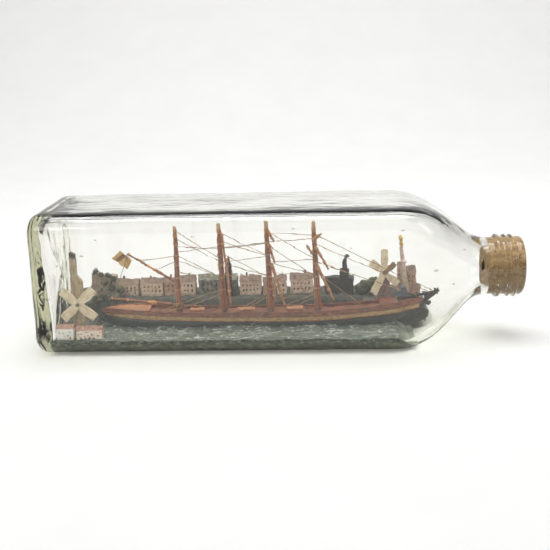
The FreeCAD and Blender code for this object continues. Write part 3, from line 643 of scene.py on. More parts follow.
def build_cork():
    n, v, f = 72, [], []
    xs = [103.0, 103.12, 103.5, 104.2] + [105 + i * 0.8 for i in range(20)] + [121.0, 121.4, 121.65, 121.7]
    for i, x in enumerate(xs):
        base = 10.98 + 0.05 * smooth((x - 103) / 2.5)
        if i == 0: base -= 0.9
        if i == 1: base -= 0.4
        if i == 2: base -= 0.12
        if i == len(xs) - 1: base -= 0.8
        if i == len(xs) - 2: base -= 0.35
        for k in range(n):
            a = 2 * math.pi * k / n
            y, z = math.cos(a), math.sin(a)
            d = -0.20 * smooth((nz(x * 0.6, y * 10, z * 10, 0.8, 5.0) - 0.46) / 0.2)
            v.append((x + (0.12 * nz(y * 10, z * 10, 0, 0.5, 8) if i in (0, len(xs) - 1) else 0), (base + d) * y, AXZ + (base + d) * z))
    for i in range(len(xs) - 1):
        for k in range(n):
            j = (k + 1) % n
            f.append([i * n + k, i * n + j, (i + 1) * n + j, (i + 1) * n + k])
    for base, x, flip in ((0, 103.0, False), ((len(xs) - 1) * n, 121.7, True)):
        prev = [base + k for k in range(n)]
        for q in (0.75, 0.5, 0.25):
            cur = []
            for k in range(n):
                a = 2 * math.pi * k / n
                y, z = 9.7 * q * math.cos(a), 9.7 * q * math.sin(a)
                cur.append(len(v))
                v.append((x + 0.14 * nz(y, z, 0, 0.6, 8), y, AXZ + z))
            for k in range(n):
                j = (k + 1) % n
                fc = [prev[k], cur[k], cur[j], prev[j]]
                f.append(fc if not flip else fc[::-1])
            prev = cur
        f.append(prev if not flip else prev[::-1])
    new_mesh("cork_stopper", v, f, M_CORK, "cork", ["cork"], True, "cork")


build_cork()

# ---------------------------------------------------------------- the ship
SY, PZ = -6.0, 17.0
ST = [(-97.5, 0.7, 15.0, 16.9), (-94, 2.4, 14.5, 17.4), (-84, 5.9, 13.4, 17.7), (-60, 7.0, 12.2, 16.3), (-20, 7.1, 11.0, 15.7), (20, 7.0, 11.3, 16.0),
      (42, 6.2, 12.7, 17.6), (56, 4.6, 13.9, 19.3), (65, 2.7, 15.2, 20.6), (71.2, 0.7, 16.2, 21.4)]
XS = [-97.5 + 168.7 * i / 84 for i in range(85)]


def deck_z(x):
    return 14.8 + max(0.0, (x - 24) * 0.085) + max(0.0, (-62 - x) * 0.04)


def loft(rows, closed_ends=True):
    n = len(rows[0])
    v = [p for r in rows for p in r]
    f = []
    for i in range(len(rows) - 1):
        for k in range(n):
            j = (k + 1) % n
            f.append([i * n + k, i * n + j, (i + 1) * n + j, (i + 1) * n + k])
    if closed_ends:
        f.append(list(range(n))[::-1])
        f.append([(len(rows) - 1) * n + k for k in range(n)])
    return v, f


def fix_normals(o):
    bm = bmesh.new()
    bm.from_mesh(o.data)
    bmesh.ops.recalc_face_normals(bm, faces=bm.faces)
    bm.to_mesh(o.data)
    bm.free()


rows = []
for x in XS:
    b, zs = curve(ST, x, 1), curve(ST, x, 2)
    zk = min(zs - 0.9, 4.6 + max(0.0, x - 40) * 0.17 + max(0.0, x - 46) ** 1.6 * 0.05 + max(0.0, -88 - x) * 0.8)
    side = [(0.30, 0.0), (0.55, 0.05), (0.74, 0.22), (0.87, 0.48), (0.95, 0.78), (0.985, 1.0)]
    pts = [(x, SY - b * p, zk + (zs - zk) * q) for p, q in side] + [(x, SY + b * p, zk + (zs - zk) * q) for p, q in side[::-1]]
    rows.append([(px, py + 0.06 * nz(px, py, pz, 0.25, 4), pz + 0.05 * nz(px, py, pz, 0.3, 6)) for px, py, pz in pts])
o = new_mesh("hull_body", *loft(rows), M_HULL, "root", ["hull"], True, "hull_paint"); fix_normals(o)

rows = []
for x in XS:
    b, zs, zr = curve(ST, x, 1), curve(ST, x, 2), curve(ST, x, 3)
    zd = min(deck_z(x) - 0.4, zr - 0.6)
    bi = max(0.12, b - 0.7)
    up = lambda t: zs + (zr - zs) * t
    bulge = 0.18
    L = [(b * 0.985, up(0)), (b + bulge * 0.5, up(0.25)), (b + bulge, up(0.55)), (b + bulge * 0.5, up(0.8)), (b, up(1.0)), (bi, up(1.0)), (bi, zd)]
    pts = [(x, SY - p, q) for p, q in L] + [(x, SY + p, q) for p, q in L[::-1]]
    rows.append([(px, py + 0.07 * nz(px, py, pz, 0.2, 14), pz + 0.05 * nz(px, py, pz, 0.3, 16)) for px, py, pz in pts])
o = new_mesh("topside_band", *loft(rows), M_BAND, "root", ["topside_planking"], False, "band_wood"); fix_normals(o)

# cap rail, painted line and rubbing strip along both sides
for name, m, frac, h, w, out_ in (("cap_rail", M_RAIL, 1.02, 0.42, 0.95, -0.30), ("painted_line", M_STRIPE, 0.27, 1.75, 0.12, 0.10), ("rubbing_strip", M_RAIL, 0.0, 0.42, 0.4, 0.08)):
    bag = Bag()
    for s in (-1, 1):
        rows = []
        for x in XS[1:-1]:
            b, zs, zr = curve(ST, x, 1), curve(ST, x, 2), curve(ST, x, 3)
            z = zs + (zr - zs) * frac + 0.06 * nz(x, 0, 0, 0.5, 21)
            y = b + out_ + (0.16 if name == "painted_line" else 0.0) + 0.03 * nz(x, 0, 0, 0.8, 23)
            c = [(-w / 2, -h / 2), (w / 2, -h / 2), (w / 2, h / 2), (-w / 2, h / 2)]
            rows.append([(x, SY + s * (max(0.3, y) + p), z + q) for p, q in c])
        bag.add(*loft(rows))
    o = new_mesh(name, bag.v, bag.f, m, "root", (), False, "band_wood"); fix_normals(o)


def cad(node, material, flat=False):
    o = NODES[node]
    if len(o.data.materials) == 0:
        o.data.materials.append(material)
    for i in range(len(o.material_slots)):
        o.material_slots[i].material = material
    return o


cad("deck", M_DECK)
rows = []
for i in range(25):
    x = -95.0 + 23.0 * i / 24
    b, zr = curve(ST, x, 1) - 0.62, curve(ST, x, 3)
    rows.append([(x, SY - b, zr - 1.6), (x, SY + b, zr - 1.6), (x, SY + b, zr - 0.12), (x, SY, zr + 0.1), (x, SY - b, zr - 0.12)])
o = new_mesh("poop_deck", *loft(rows), M_POOP, "root", ["poop"], False, "deck_wood"); fix_normals(o)
bm = bmesh.new()
bmesh.ops.create_icosphere(bm, subdivisions=3, radius=0.95)
new_mesh("red_boss", [(-71.8 + q.co.x, SY - 6.5 + q.co.y * 0.6, 16.6 + q.co.z) for q in bm.verts], [[q.index for q in fc.verts] for fc in bm.faces],
         paint("red_paint", rgb(178, 52, 40), rgb(196, 74, 56), rgb(120, 36, 30), 1.5, 0.5), "root", (), True, "roof_paint")
bm.free()
cad("forecastle", M_DECK)
cad("spanker_gaff", M_GAFF)
cad("spanker_boom", M_GAFF)
cad("mast_pins", M_WIRE)
cad("windmill_pins", M_WIRE)

bag = Bag()
for i, (a, b) in enumerate(((-50.5, -43.5), (-25.5, -17.0), (0.5, 8.5))):
    w = (2.3, 2.6, 2.4)[i]
    bag.add(*carve(*block(a, b, SY - w, SY + w, 14.7, 16.2), 0.15, 2, 0.04, 3 + i))
    bag.add(*carve(*block(a - 0.25, b + 0.25, SY - w - 0.2, SY + w + 0.2, 16.2, 16.55), 0.1, 2, 0.03, 6 + i))
    for k in range(4):
        xx = a + 0.9 + k * (b - a - 2.4) / 3
        bag.add(*carve(*block(xx, xx + 0.7, SY - w - 0.08, SY - w + 0.1, 15.3, 15.9), 0.05, 0, 0.02, 9 + k))
new_mesh("deck_cabins", bag.v, bag.f, M_YARD, "root", ["deckhouses"], False, "yard_wood")

# ragged painted bow: bowsprit, beakhead and loose paint below them
bag = Bag()
pts = []
for i in range(15):
    t = i / 14
    pts.append((58 + 21.4 * t, SY + 0.12 * nz(i, 0, 0, 0.9, 3), deck_z(58) + 3.0 + (24.9 - deck_z(58) - 3.0) * t + 0.22 * nz(i, 2, 0, 1.1, 4)))
tv, tf = tube(pts, 1.15, 12, True, lambda t: (1 - 0.30 * t) * (1 + 0.45 * nz(t * 11, 0, 0, 1.0, 7)))
bag.add(tv, tf)
new_mesh("bowsprit_spar", bag.v, bag.f, M_DARK, "root", ["bowsprit"], False, "dark_paint")
bag = Bag()
pts = [(70.4 + 7.2 * t, SY, 19.0 + 3.6 * t + 0.3 * nz(t * 8, 1, 0, 1, 3)) for t in [i / 12 for i in range(13)]]
tv, tf = tube(pts, 1.1, 12, True, lambda t: (1 - 0.62 * t) * (1 + 0.3 * nz(t * 10, 0, 0, 1.0, 9)))
bag.add(tv, tf)
for i in range(11):
    t = i / 10
    x = 62 + 12.5 * t
    bag.add(*carve(*block(x - 0.9, x + 1.0, SY - max(0.5, 2.6 * (1 - t)) - 0.35, SY - max(0.3, 2.2 * (1 - t)) + 0.1, 14.0 + 4.0 * t + RND.uniform(-1.2, 0.2), 16.4 + 3.6 * t + RND.uniform(-0.4, 0.3)),
                   0.25, 1, 0.3, 30 + i, 0.9))
for i in range(9):
    x = 72.5 + i * 0.72
    bag.add(*carve(*block(x - 0.5, x + 0.6, SY - 0.8, SY + 0.6, 20.9 + i * 0.25 + RND.uniform(-0.7, 0.3), 23.0 + i * 0.30 + RND.uniform(-0.4, 0.9)), 0.16, 1, 0.3, 50 + i, 1.1))
new_mesh("beakhead_carving", bag.v, bag.f, M_DARK, "root", ["beakhead"], False, "dark_paint")

MASTS = {"jigger": (-56.2, -57.0, 61.6, 1.35, 0.65), "mizzen": (-32.9, -34.3, 63.8, 1.55, 0.70), "main": (-8.0, -9.8, 65.0, 1.55, 0.70), "fore": (16.7, 14.8, 64.0, 1.55, 0.70)}


def mast_at(name, z):
    xf, xt, zt, r0, r1 = MASTS[name]
    t = (z - PZ) / (zt - PZ)
    return xf + (xt - xf) * t, r0 + (r1 - r0) * t


def on_mast(name, z, s=-1.0, gap=0.0):
    x, r = mast_at(name, z)
    return (x, SY + s * (r + gap), z)


def coil(centre, axis, radius, r, turns, pitch, seed=0, steps=14):
    """A few turns of thread round a spar."""
    ax = Vector(axis).normalized()
    u = ax.orthogonal().normalized()
    w = ax.cross(u)
    pts = []
    n = int(turns * steps)
    for i in range(n + 1):
        a = 2 * math.pi * i / steps
        rr = radius * (1 + 0.10 * nz(i * 0.35, seed, 0, 1.0, seed))
        p = Vector(centre) + ax * ((i / steps - turns / 2) * pitch + 0.1 * nz(i * 0.21, 3, seed, 1.0, 2)) + u * (rr * math.cos(a)) + w * (rr * math.sin(a))
        pts.append(p)
    return tube(pts, r, 6)


def knot(c, size, seed):
    """A small lump of knotted thread."""
    bag = Bag()
    r = random.Random(seed)
    pts = []
    for i in range(26):
        a = i * 0.9 + r.random()
        b = i * 0.53 + r.random()
        pts.append((c[0] + size * math.cos(a) * math.cos(b), c[1] + size * math.sin(a) * 0.8, c[2] + size * math.sin(b) * 0.9))
    sm = [pts[0]]
    for i in range(len(pts) - 1):
        for k in range(1, 4):
            t = k / 3
            sm.append(tuple(pts[i][j] + (pts[i + 1][j] - pts[i][j]) * t for j in range(3)))
    out = []
    for i in range(len(sm)):
        lo, hi = max(0, i - 2), min(len(sm), i + 3)
        out.append(tuple(sum(p[j] for p in sm[lo:hi]) / (hi - lo) for j in range(3)))
    bag.add(*tube(out, 0.14, 6))
    return bag.v, bag.f


for name, (xf, xt, zt, r0, r1) in MASTS.items():
    n_ = 60
    pts, rad = [], []
    for i in range(n_ + 1):
        t = i / n_
        z = 15.6 + (zt - 15.6) * t
        x, r = mast_at(name, max(PZ, z))
        pts.append((x + 0.10 * nz(z * 0.12, 3, 0, 1, len(name)), SY + 0.05 * nz(z * 0.2, 1, 4, 1, len(name)), z))
        hound = 0.30 * math.exp(-((z - (0.62 * zt + 6)) / 0.9) ** 2) + 0.22 * math.exp(-((z - 0.84 * zt) / 0.7) ** 2)
        rad.append(r * 1.06 + 0.22 + hound + 0.10 * nz(z * 0.5, 7, 0, 1, len(name)) - (0.30 * smooth((z - zt + 1.0) / 1.0)))
    tv, tf = tube(pts, 1.0, 14, True, lambda t: rad[min(n_, int(round(t * n_)))])
    o = new_mesh("mast_spar_" + name, tv, tf, M_MAST, name, ["mast_" + name], True, "spar_wood")
    fix_normals(o)


YARDS = {
    "mizzen": [((-32.4, -8.1, 57.0), (-30.7, -10.6, 41.2), 0.6), ((-30.6, -8.6, 44.0), (-28.6, -12.4, 19.6), 0.75)],
    "main": [((-8.6, -8.2, 57.6), (-5.4, -9.6, 52.3), 0.55), ((-8.3, -8.2, 51.0), (-5.2, -10.6, 41.6), 0.6), ((-7.4, -8.4, 41.2), (-0.2, -12.4, 18.8), 0.75), ((-7.0, -8.1, 31.0), (-5.4, -8.9, 20.6), 0.55)],
    "fore": [((14.6, -8.2, 52.8), (19.2, -9.0, 55.8), 0.55), ((15.8, -8.2, 49.3), (22.3, -10.4, 38.2), 0.65), ((16.6, -8.5, 39.4), (24.9, -12.4, 21.9), 0.75), ((14.2, -8.3, 45.6), (11.2, -9.4, 50.4), 0.5)],
}
for name, spars in [("jigger", [])] + list(YARDS.items()):
    if spars:
        sp = Bag()
        for i, (a, b, r) in enumerate(spars):
            a_, b_ = Vector(a), Vector(b)
            pts = [a_.lerp(b_, q / 26) + Vector((0.14 * nz(q * 0.16, i, 0, 1, len(name)), 0, 0.1 * nz(q * 0.16, i, 5, 1, len(name)))) for q in range(27)]
            tv, tf = tube(pts, r + 0.12, 12, True, lambda t: (1.0 - 0.32 * t) * (1 + 0.10 * nz(t * 7, i, 1, 1, len(name))) * (0.8 if t < 0.01 or t > 0.99 else 1))
            sp.add(tv, tf)
        o = new_mesh("spars_" + name, sp.v, sp.f, M_YARD, name, ["yards_" + name], True, "yard_wood")
        fix_normals(o)
    bag = Bag()
    k = 0
    for z, turns in ((57.4 if name != "jigger" else 55.4, 4), (51.5, 3), (45.6, 3), (40.2, 3), (33.5, 3), (27.0, 2)):
        x, r = mast_at(name, z)
        bag.add(*coil((x, SY, z), (0.03, 0, -1), r + 0.36, 0.14, turns, 0.30, k + len(name)))
        k += 1
        if k % 2:
            bag.add(*knot((x + 0.2, SY - r - 0.25, z - 0.3), 0.42, 100 + k * 7 + len(name)))
    for i, (a, b, r) in enumerate(spars):
        a, b = Vector(a), Vector(b)
        d = (b - a)
        for t in (0.06, 0.34, 0.68):
            c = a + d * t
            bag.add(*coil(c, d, r * (1.1 - 0.3 * t) + 0.16, 0.13, 3 if t > 0.1 else 5, 0.28, i * 5 + t * 10))
            if t == 0.68:
                bag.add(*knot(tuple(c + Vector((-0.4, -r, 0.1))), 0.62, 200 + i * 11 + len(name)))
        # lashing from the spar's head to the mast
        x, rm = mast_at(name, a.z + 0.4)
        bag.add(*tube([a + d * 0.06 + Vector((0, 0.3, 0)), (a + Vector((x, SY - rm, a.z + 0.6))) / 2 + Vector((0.2, 0, 0.15)), Vector((x, SY - rm * 0.9, a.z + 0.7))], 0.14, 6))
    new_mesh("lashings_" + name, bag.v, bag.f, M_KNOT, name, (), True, "thread")

bag = Bag()
for p, r in (((-59.4, SY, 32.1), 0.85), ((-66.4, SY, 36.5), 0.78), ((-74.5, SY, 41.6), 0.66), ((-81.6, SY, 46.2), 0.58)):
    bag.add(*coil(p, (-0.845, 0, 0.535), r + 0.08, 0.13, 3, 0.28, r * 10))
new_mesh("lashings_gaff", bag.v, bag.f, M_KNOT, "gaff", (), True, "thread")
bag = Bag()
for t in (0.06, 0.4, 0.75, 0.97):
    bag.add(*coil((-54.6 - 37.8 * t, SY - 2.9, 19.2 + 4.3 * t), (-0.994, 0, 0.113), 0.8 - 0.25 * t + 0.1, 0.13, 3, 0.28, t * 9))
bag.add(*tube([(-57.4, SY - 2.9, 20.4), (-57.5, SY - 2.2, 21.2), (-57.2, SY - 1.1, 21.6), (-56.2, SY - 1.45, 21.6), (-55.8, SY - 2.4, 20.8), (-55.9, SY - 2.9, 20.2)], 0.13, 6))
new_mesh("lashings_boom", bag.v, bag.f, M_KNOT, "root", (), True, "thread")


def line(a, b, sag=0.0, seed=0, r=0.19, n=22):
    a, b = Vector(a), Vector(b)
    L = (b - a).length
    pts = []
    for i in range(n + 1):
        t = i / n
        p = a.lerp(b, t)
        s = 4 * t * (1 - t)
        p.z -= sag * s
        p.y += 0.10 * s * nz(t * 3, seed, 0, 1.0, seed)
        p.x += 0.05 * s * nz(t * 4, seed, 5, 1.0, seed)
        pts.append(p)
    return tube(pts, r, 6, True, lambda t: 1 + 0.15 * nz(t * L * 0.9, seed, 1, 1.0, 3))


for name, (xf, xt, zt, r0, r1) in MASTS.items():
    zh = 47.5 if name != "jigger" else 45.0
    bag = Bag()
    for s in (-1, 1):
        bag.add(*line(on_mast(name, zh + 4.5, s, 0.10), (xf - 2.0, SY + s * 6.5, PZ + 0.2), 0, 1 + s, 0.13))
        bag.add(*line(on_mast(name, zh - 3, s, 0.10), (xf - 0.9, SY + s * 6.6, PZ), 0, 5 + s, 0.13))
        bag.add(*coil((xf, SY + s * 6.6, PZ - 0.05), (0, 0, 1), 0.36, 0.12, 2, 0.2, s + 2))
    new_mesh("shroud_lines_" + name, bag.v, bag.f, M_THREAD, name, ["shrouds_" + name], True, "thread")

PAIRS = {
    "stays_jigger_mizzen_top": ("jigger", "mizzen", [(50.2, 48.9, 0.2), (46.8, 49.5, 0.1)]),
    "stays_jigger_mizzen_upper": ("jigger", "mizzen", [(54.6, 42.0, 0.3), (57.6, 42.8, 0.1)]),
    "stays_jigger_mizzen_lower": ("jigger", "mizzen", [(46.0, 33.8, 0.4), (42.4, 33.2, 0.2), (37.0, 33.0, 0.3)]),
    "stays_mizzen_main_top": ("mizzen", "main", [(49.5, 51.6, 0.2), (48.8, 51.0, 0.5)]),
    "stays_mizzen_main_upper": ("mizzen", "main", [(57.0, 45.0, 0.2), (52.6, 44.2, 0.4), (41.6, 44.8, 0.3)]),
    "stays_mizzen_main_lower": ("mizzen", "main", [(47.0, 33.2, 0.3), (40.0, 33.8, 0.2), (35.0, 33.0, 0.5)]),
    "stays_main_fore_top": ("main", "fore", [(51.8, 53.6, 0.3), (56.4, 54.2, 0.2)]),
    "stays_main_fore_upper": ("main", "fore", [(57.4, 42.6, 0.2), (41.0, 42.0, 0.3)]),
    "stays_main_fore_lower": ("main", "fore", [(50.6, 33.4, 0.3), (40.8, 34.2, 0.4), (36.0, 33.6, 0.2)]),
}
for node, (a, b, hs) in PAIRS.items():
    bag = Bag()
    for i, (ha, hb, sag) in enumerate(hs):
        s = -1 if i % 2 == 0 else 1
        bag.add(*line(on_mast(a, ha, s, 0.10), on_mast(b, hb, s, 0.10), sag, i * 3 + len(node), 0.17))
    o = new_mesh(node + "_lines", bag.v, bag.f, M_THREAD, None, [node], True, "thread")
    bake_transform(o)


def root_lines(node, lines):
    bag = Bag()
    for i, (a, b, sag) in enumerate(lines):
        bag.add(*line(a, b, sag, i * 2 + len(node), 0.18, 30))
    o = new_mesh(node + "_lines", bag.v, bag.f, M_THREAD, None, [node], True, "thread")
    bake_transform(o)


root_lines("forestays", [((77.4, SY - 0.6, 24.6), on_mast("fore", 55.6, -1, 0.1), 0.4), ((74.6, SY + 0.7, 24.0), on_mast("fore", 50.0, 1, 0.1), 0.2),
                                 ((68.2, SY - 0.85, 22.6), on_mast("fore", 41.6, -1, 0.1), 0.5), ((40.5, SY - 0.5, 17.2), on_mast("fore", 36.0, -1, 0.1), 0.2)])
root_lines("braces_mizzen", [((-67.0, SY - 6.2, 16.9), on_mast("mizzen", 27.6, -1, 0.1), 0.3), ((-62.0, SY - 6.4, 16.7), on_mast("mizzen", 24.6, -1, 0.1), 0.4)])
root_lines("braces_main", [((-28.2, SY - 6.4, 16.2), on_mast("main", 25.4, -1, 0.1), 0.2), ((-25.2, SY - 6.5, 16.2), on_mast("main", 23.8, -1, 0.1), 0.3)])
root_lines("braces_fore", [((-10.8, SY - 6.6, 16.2), on_mast("fore", 24.6, -1, 0.1), 0.3), ((-10.0, SY + 6.5, 16.2), on_mast("fore", 27.6, 1, 0.1), 0.2),
                                   ((-6.2, SY - 6.6, 16.2), on_mast("fore", 22.6, -1, 0.1), 0.4)])
bag = Bag()
bag.add(*line((-76.5, SY - 0.7, 43.3), on_mast("jigger", 45.6, -1, 0.1), 0.5, 3))
bag.add(*line((-68.5, SY - 0.75, 38.2), on_mast("jigger", 42.6, -1, 0.1), 0.2, 4))
o = new_mesh("gaff_halyard_lines", bag.v, bag.f, M_THREAD, None, ["gaff_halyard"], True, "thread")
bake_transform(o)

# a loose thread over the ship's side
bag = Bag()
pts = [(-11.0, SY - 6.6, 16.3), (-12.4, SY - 7.9, 15.4), (-14.6, SY - 8.4, 12.8), (-17.0, SY - 8.6, 10.4), (-19.6, SY - 8.8, 9.0)]
sm = []
for i in range(len(pts) - 1):
    for k in range(5):
        t = k / 5
        sm.append(tuple(pts[i][j] + (pts[i + 1][j] - pts[i][j]) * t for j in range(3)))
bag.add(*tube(sm, 0.13, 6))
new_mesh("loose_thread", bag.v, bag.f, M_THREAD, "root", (), True, "thread")

# flag: a stiff scrap of paper, curled
fx = [(-91.0, 43.8), (-86.3, 47.9), (-80.2, 43.0), (-83.1, 37.8)]
n, m_ = 26, 18
v, f = [], []
for j in range(m_ + 1):
    for i in range(n + 1):
        s, t = i / n, j / m_
        x = (1 - s) * ((1 - t) * fx[0][0] + t * fx[1][0]) + s * ((1 - t) * fx[3][0] + t * fx[2][0])
        z = (1 - s) * ((1 - t) * fx[0][1] + t * fx[1][1]) + s * ((1 - t) * fx[3][1] + t * fx[2][1])
        ed = 0.22 if i in (0, n) or j in (0, m_) else 0.0
        y = SY + 0.95 + 0.55 * math.sin(s * 3.6 + 0.4) + 0.3 * math.sin(t * 4.0) + 0.12 * nz(x, z, 0, 0.5, 3)
        v.append((x + ed * nz(x, z, 0, 1.7, 4), y, z + ed * nz(x, z, 3, 1.7, 5)))
for j in range(m_):
    for i in range(n):
        a = j * (n + 1) + i
        f.append([a, a + 1, a + n + 2, a + n + 1])
o = new_mesh("paper_flag", v, f, M_PAPER, "gaff", ["flag"], True, "paper")
md = o.modifiers.new("thick", "SOLIDIFY")
md.thickness = 0.00022
bag = Bag()
bag.add(*tube([(-82.6, SY + 0.9, 46.4), (-83.4, SY + 0.7, 43.0), (-84.6, SY + 0.62, 39.6), (-86.0, SY + 0.5, 36.0), (-87.4, SY + 0.5, 32.4), (-88.7, SY + 0.5, 29.4)], 0.17, 6))
new_mesh("flag_wire", bag.v, bag.f, M_WIRE, "gaff", ["flag_halyard"], True, "wire")


# ---------------------------------------------------------------- windmills
def sails(name, body, node, cx, cz, y0, y1, arms, hub):
    mats = M_SAIL
    for i, (deg, L, w, mat_) in enumerate(arms):
        t = math.radians(deg)
        pts = [(0.0, -w * 0.34), (L * 0.5, -w * 0.5), (L - 0.25, -w * 0.5 + 0.1), (L, -w * 0.5 + 0.5), (L + 0.05, w * 0.5 - 0.3), (L - 0.3, w * 0.5), (L * 0.5, w * 0.5), (0.0, w * 0.34)]
        # each blade is as thick as half the stack where two cross, and stands a little proud of the next
        lay = (y0, y0 + (y1 - y0) * 0.55) if i % 2 == 0 else (y0 + (y1 - y0) * 0.5, y1)
        vv, ff = slab_xz(pts, lay[0], lay[1])
        vv, ff = carve(vv, ff, 0.10, 3, 0.08, 60 + i * 3 + cx, 0.35)
        vv = [(x, y + 0.10 * (x / L) ** 2 * (1 if i % 2 else -1), z) for x, y, z in vv]
        me = bpy.data.meshes.new("%s_blade_%d" % (name, i + 1))
        me.from_pydata([(a * MM, b * MM, c * MM) for a, b, c in vv], [], ff)
        me.update()
        o = bpy.data.objects.new(me.name, me)
        bpy.context.scene.collection.objects.link(o)
        me.materials.append(mat_)
        o.matrix_world = Matrix.Translation(((cx + CX) * MM, 0, cz * MM)) @ Matrix.Rotation(-t, 4, "Y")
        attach(o, body)
        if i == 0:
            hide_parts(node)
    bag = Bag()
    bag.add(*tube([(cx, y0 - 0.32, cz), (cx, y0 - 0.22, cz), (cx, y0 - 0.02, cz), (cx, y1 + 0.15, cz)], hub, 18, True, lambda t: 0.55 if t < 0.1 else 1.0))
    new_mesh(name + "_hub", bag.v, bag.f, M_POST, body, (), False, "pale_wood")


M_BLADE_BROWN = wood("blade_brown", rgb(110, 80, 52), rgb(150, 116, 78), rgb(178, 144, 100), "X", 2.0, 0.7, 0.0, stain=rgb(100, 78, 48), stain_amt=0.6)
sails("left_mill", "sails_left", "windmill_left_sails", -106.3, 23.6, -21.7, -20.6, [(137, 11.2, 5.0, M_SAIL), (43, 11.3, 5.0, M_SAIL), (222, 11.2, 4.9, M_SAIL), (320, 11.2, 4.7, M_SAIL)], 0.75)
sails("right_mill", "sails_right", "windmill_right_sails", 51.8, 32.2, 2.6, 3.6, [(90, 12.6, 4.0, M_SAIL), (141, 9.6, 3.9, M_SAIL), (242, 12.6, 4.2, M_SAIL), (318, 9.8, 3.8, M_SAIL), (40, 7.6, 2.8, M_BLADE_BROWN)], 0.7)
LWX, LWZ = -106.3, 23.6
v, f = carve(*slab_xz([(LWX - 2.6, 8.6), (LWX + 2.6, 8.6), (LWX + 2.3, 35.0), (LWX - 0.2, 38.8), (LWX - 2.4, 35.2)], -19.6, -16.4), 0.35, 3, 0.14, 71)
new_mesh("left_mill_tower", v, f, M_TOWERL, "root", ["windmill_left_tower"], False, "pale_wood")
RWX = 51.8
v, f = carve(*slab_xz([(RWX - 3.6, 17.0), (RWX + 4.4, 17.0), (RWX + 2.4, 31.6), (RWX + 0.6, 35.4), (RWX - 0.4, 35.4), (RWX - 2.0, 31.6)], 4.6, 8.4), 0.35, 3, 0.16, 72)
new_mesh("right_mill_tower", v, f, M_RWALL, "root", ["windmill_right_tower"], False, "wall_paint")
v, f = carve(*slab_xz([(-112.0, 9.0), (-108.2, 9.0), (-108.5, 48.0), (-111.6, 49.2)], -12.2, -9.0), 0.3, 3, 0.14, 73)
new_mesh("old_post", v, f, M_POST, "root", ["tall_post"], False, "pale_wood")


# ---------------------------------------------------------------- lighthouse
def turned(profile, sides, wob, seed):
    """Upright turned shape from (x, y, z, radius) rows."""
    v, f = [], []
    for (x, y, z, r) in profile:
        for k in range(sides):
            a = 2 * math.pi * k / sides
            rr = r * (1 + wob * nz(math.cos(a) * 2, math.sin(a) * 2, z * 0.3, 1.0, seed))
            v.append((x + rr * math.cos(a), y + rr * math.sin(a), z))
    n = sides
    for i in range(len(profile) - 1):
        for k in range(n):
            j = (k + 1) % n
            f.append([i * n + k, i * n + j, (i + 1) * n + j, (i + 1) * n + k])
    f.append(list(range(n))[::-1])
    f.append([(len(profile) - 1) * n + k for k in range(n)])
    return v, f


LX, LY = 62.2, 11.0


def mid(z):
    return LX + 2.0 - 3.05 * (z - 17) / 33.6


prof = [(mid(z), LY, z, r) for z, r in ((17, 2.35), (20, 2.25), (25, 2.05), (30, 1.86), (35.4, 1.70), (35.9, 1.75), (36.0, 2.4), (36.7, 2.45), (36.9, 2.3), (36.95, 1.38), (38, 1.34), (41, 1.2), (45.2, 1.06), (45.6, 1.05))]
new_mesh("lighthouse_shaft", *turned(prof, 28, 0.05, 5), M_SHAFT, "root", ["lighthouse_tower"], True, "white_paint")
prof = [(mid(z), LY, z, r) for z, r in ((45.6, 1.0), (45.8, 1.35), (46.2, 1.35), (46.25, 0.95), (48.6, 1.0), (48.65, 1.45), (49.2, 1.3), (50.0, 0.8), (50.6, 0.2))]
new_mesh("lighthouse_lamp", *turned(prof, 22, 0.06, 6), M_YELLOW, "root", ["lighthouse_lantern"], True, "pale_wood")

# ---------------------------------------------------------------- town
ROW = [(-93.4, -81.8, 14.0, 21.0, 24.6, 27.2), (-80.4, -68.0, 14.0, 21.5, 25.0, 27.6), (-67.2, -60.6, 14.4, 21.5, 25.6, 28.2), (-59.6, -50.2, 14.0, 21.0, 25.6, 28.8),
       (-26.0, -14.4, 14.0, 21.0, 25.6, 28.8), (-13.2, -6.4, 14.6, 21.0, 24.6, 27.0), (-5.4, -0.4, 14.0, 21.0, 25.2, 28.0), (1.8, 14.0, 14.0, 21.0, 26.6, 29.6)]
walls, walls2, roofs_, wins, trims = Bag(), Bag(), Bag(), Bag(), Bag()


def windows(x0, x1, y, z0, z1, step, w=0.7, h=1.0, seed=0):
    r = random.Random(seed)
    rows_ = 2 if z1 - z0 > 5.5 else 1
    n_ = max(1, int((x1 - x0 - 0.8) / step))
    for k in range(n_):
        for q in range(rows_):
            xx = x0 + 0.9 + (k + 0.5) * (x1 - x0 - 1.8) / n_ + r.uniform(-0.15, 0.15)
            zz = z0 + (z1 - z0) * (0.62 if rows_ == 1 else (0.36 + 0.36 * q)) + r.uniform(-0.1, 0.1)
            wins.add(*carve(*block(xx - w / 2, xx + w / 2, y - 0.12, y + 0.15, zz - h / 2, zz + h / 2), 0.06, 0, 0.04, seed + k + q * 3))


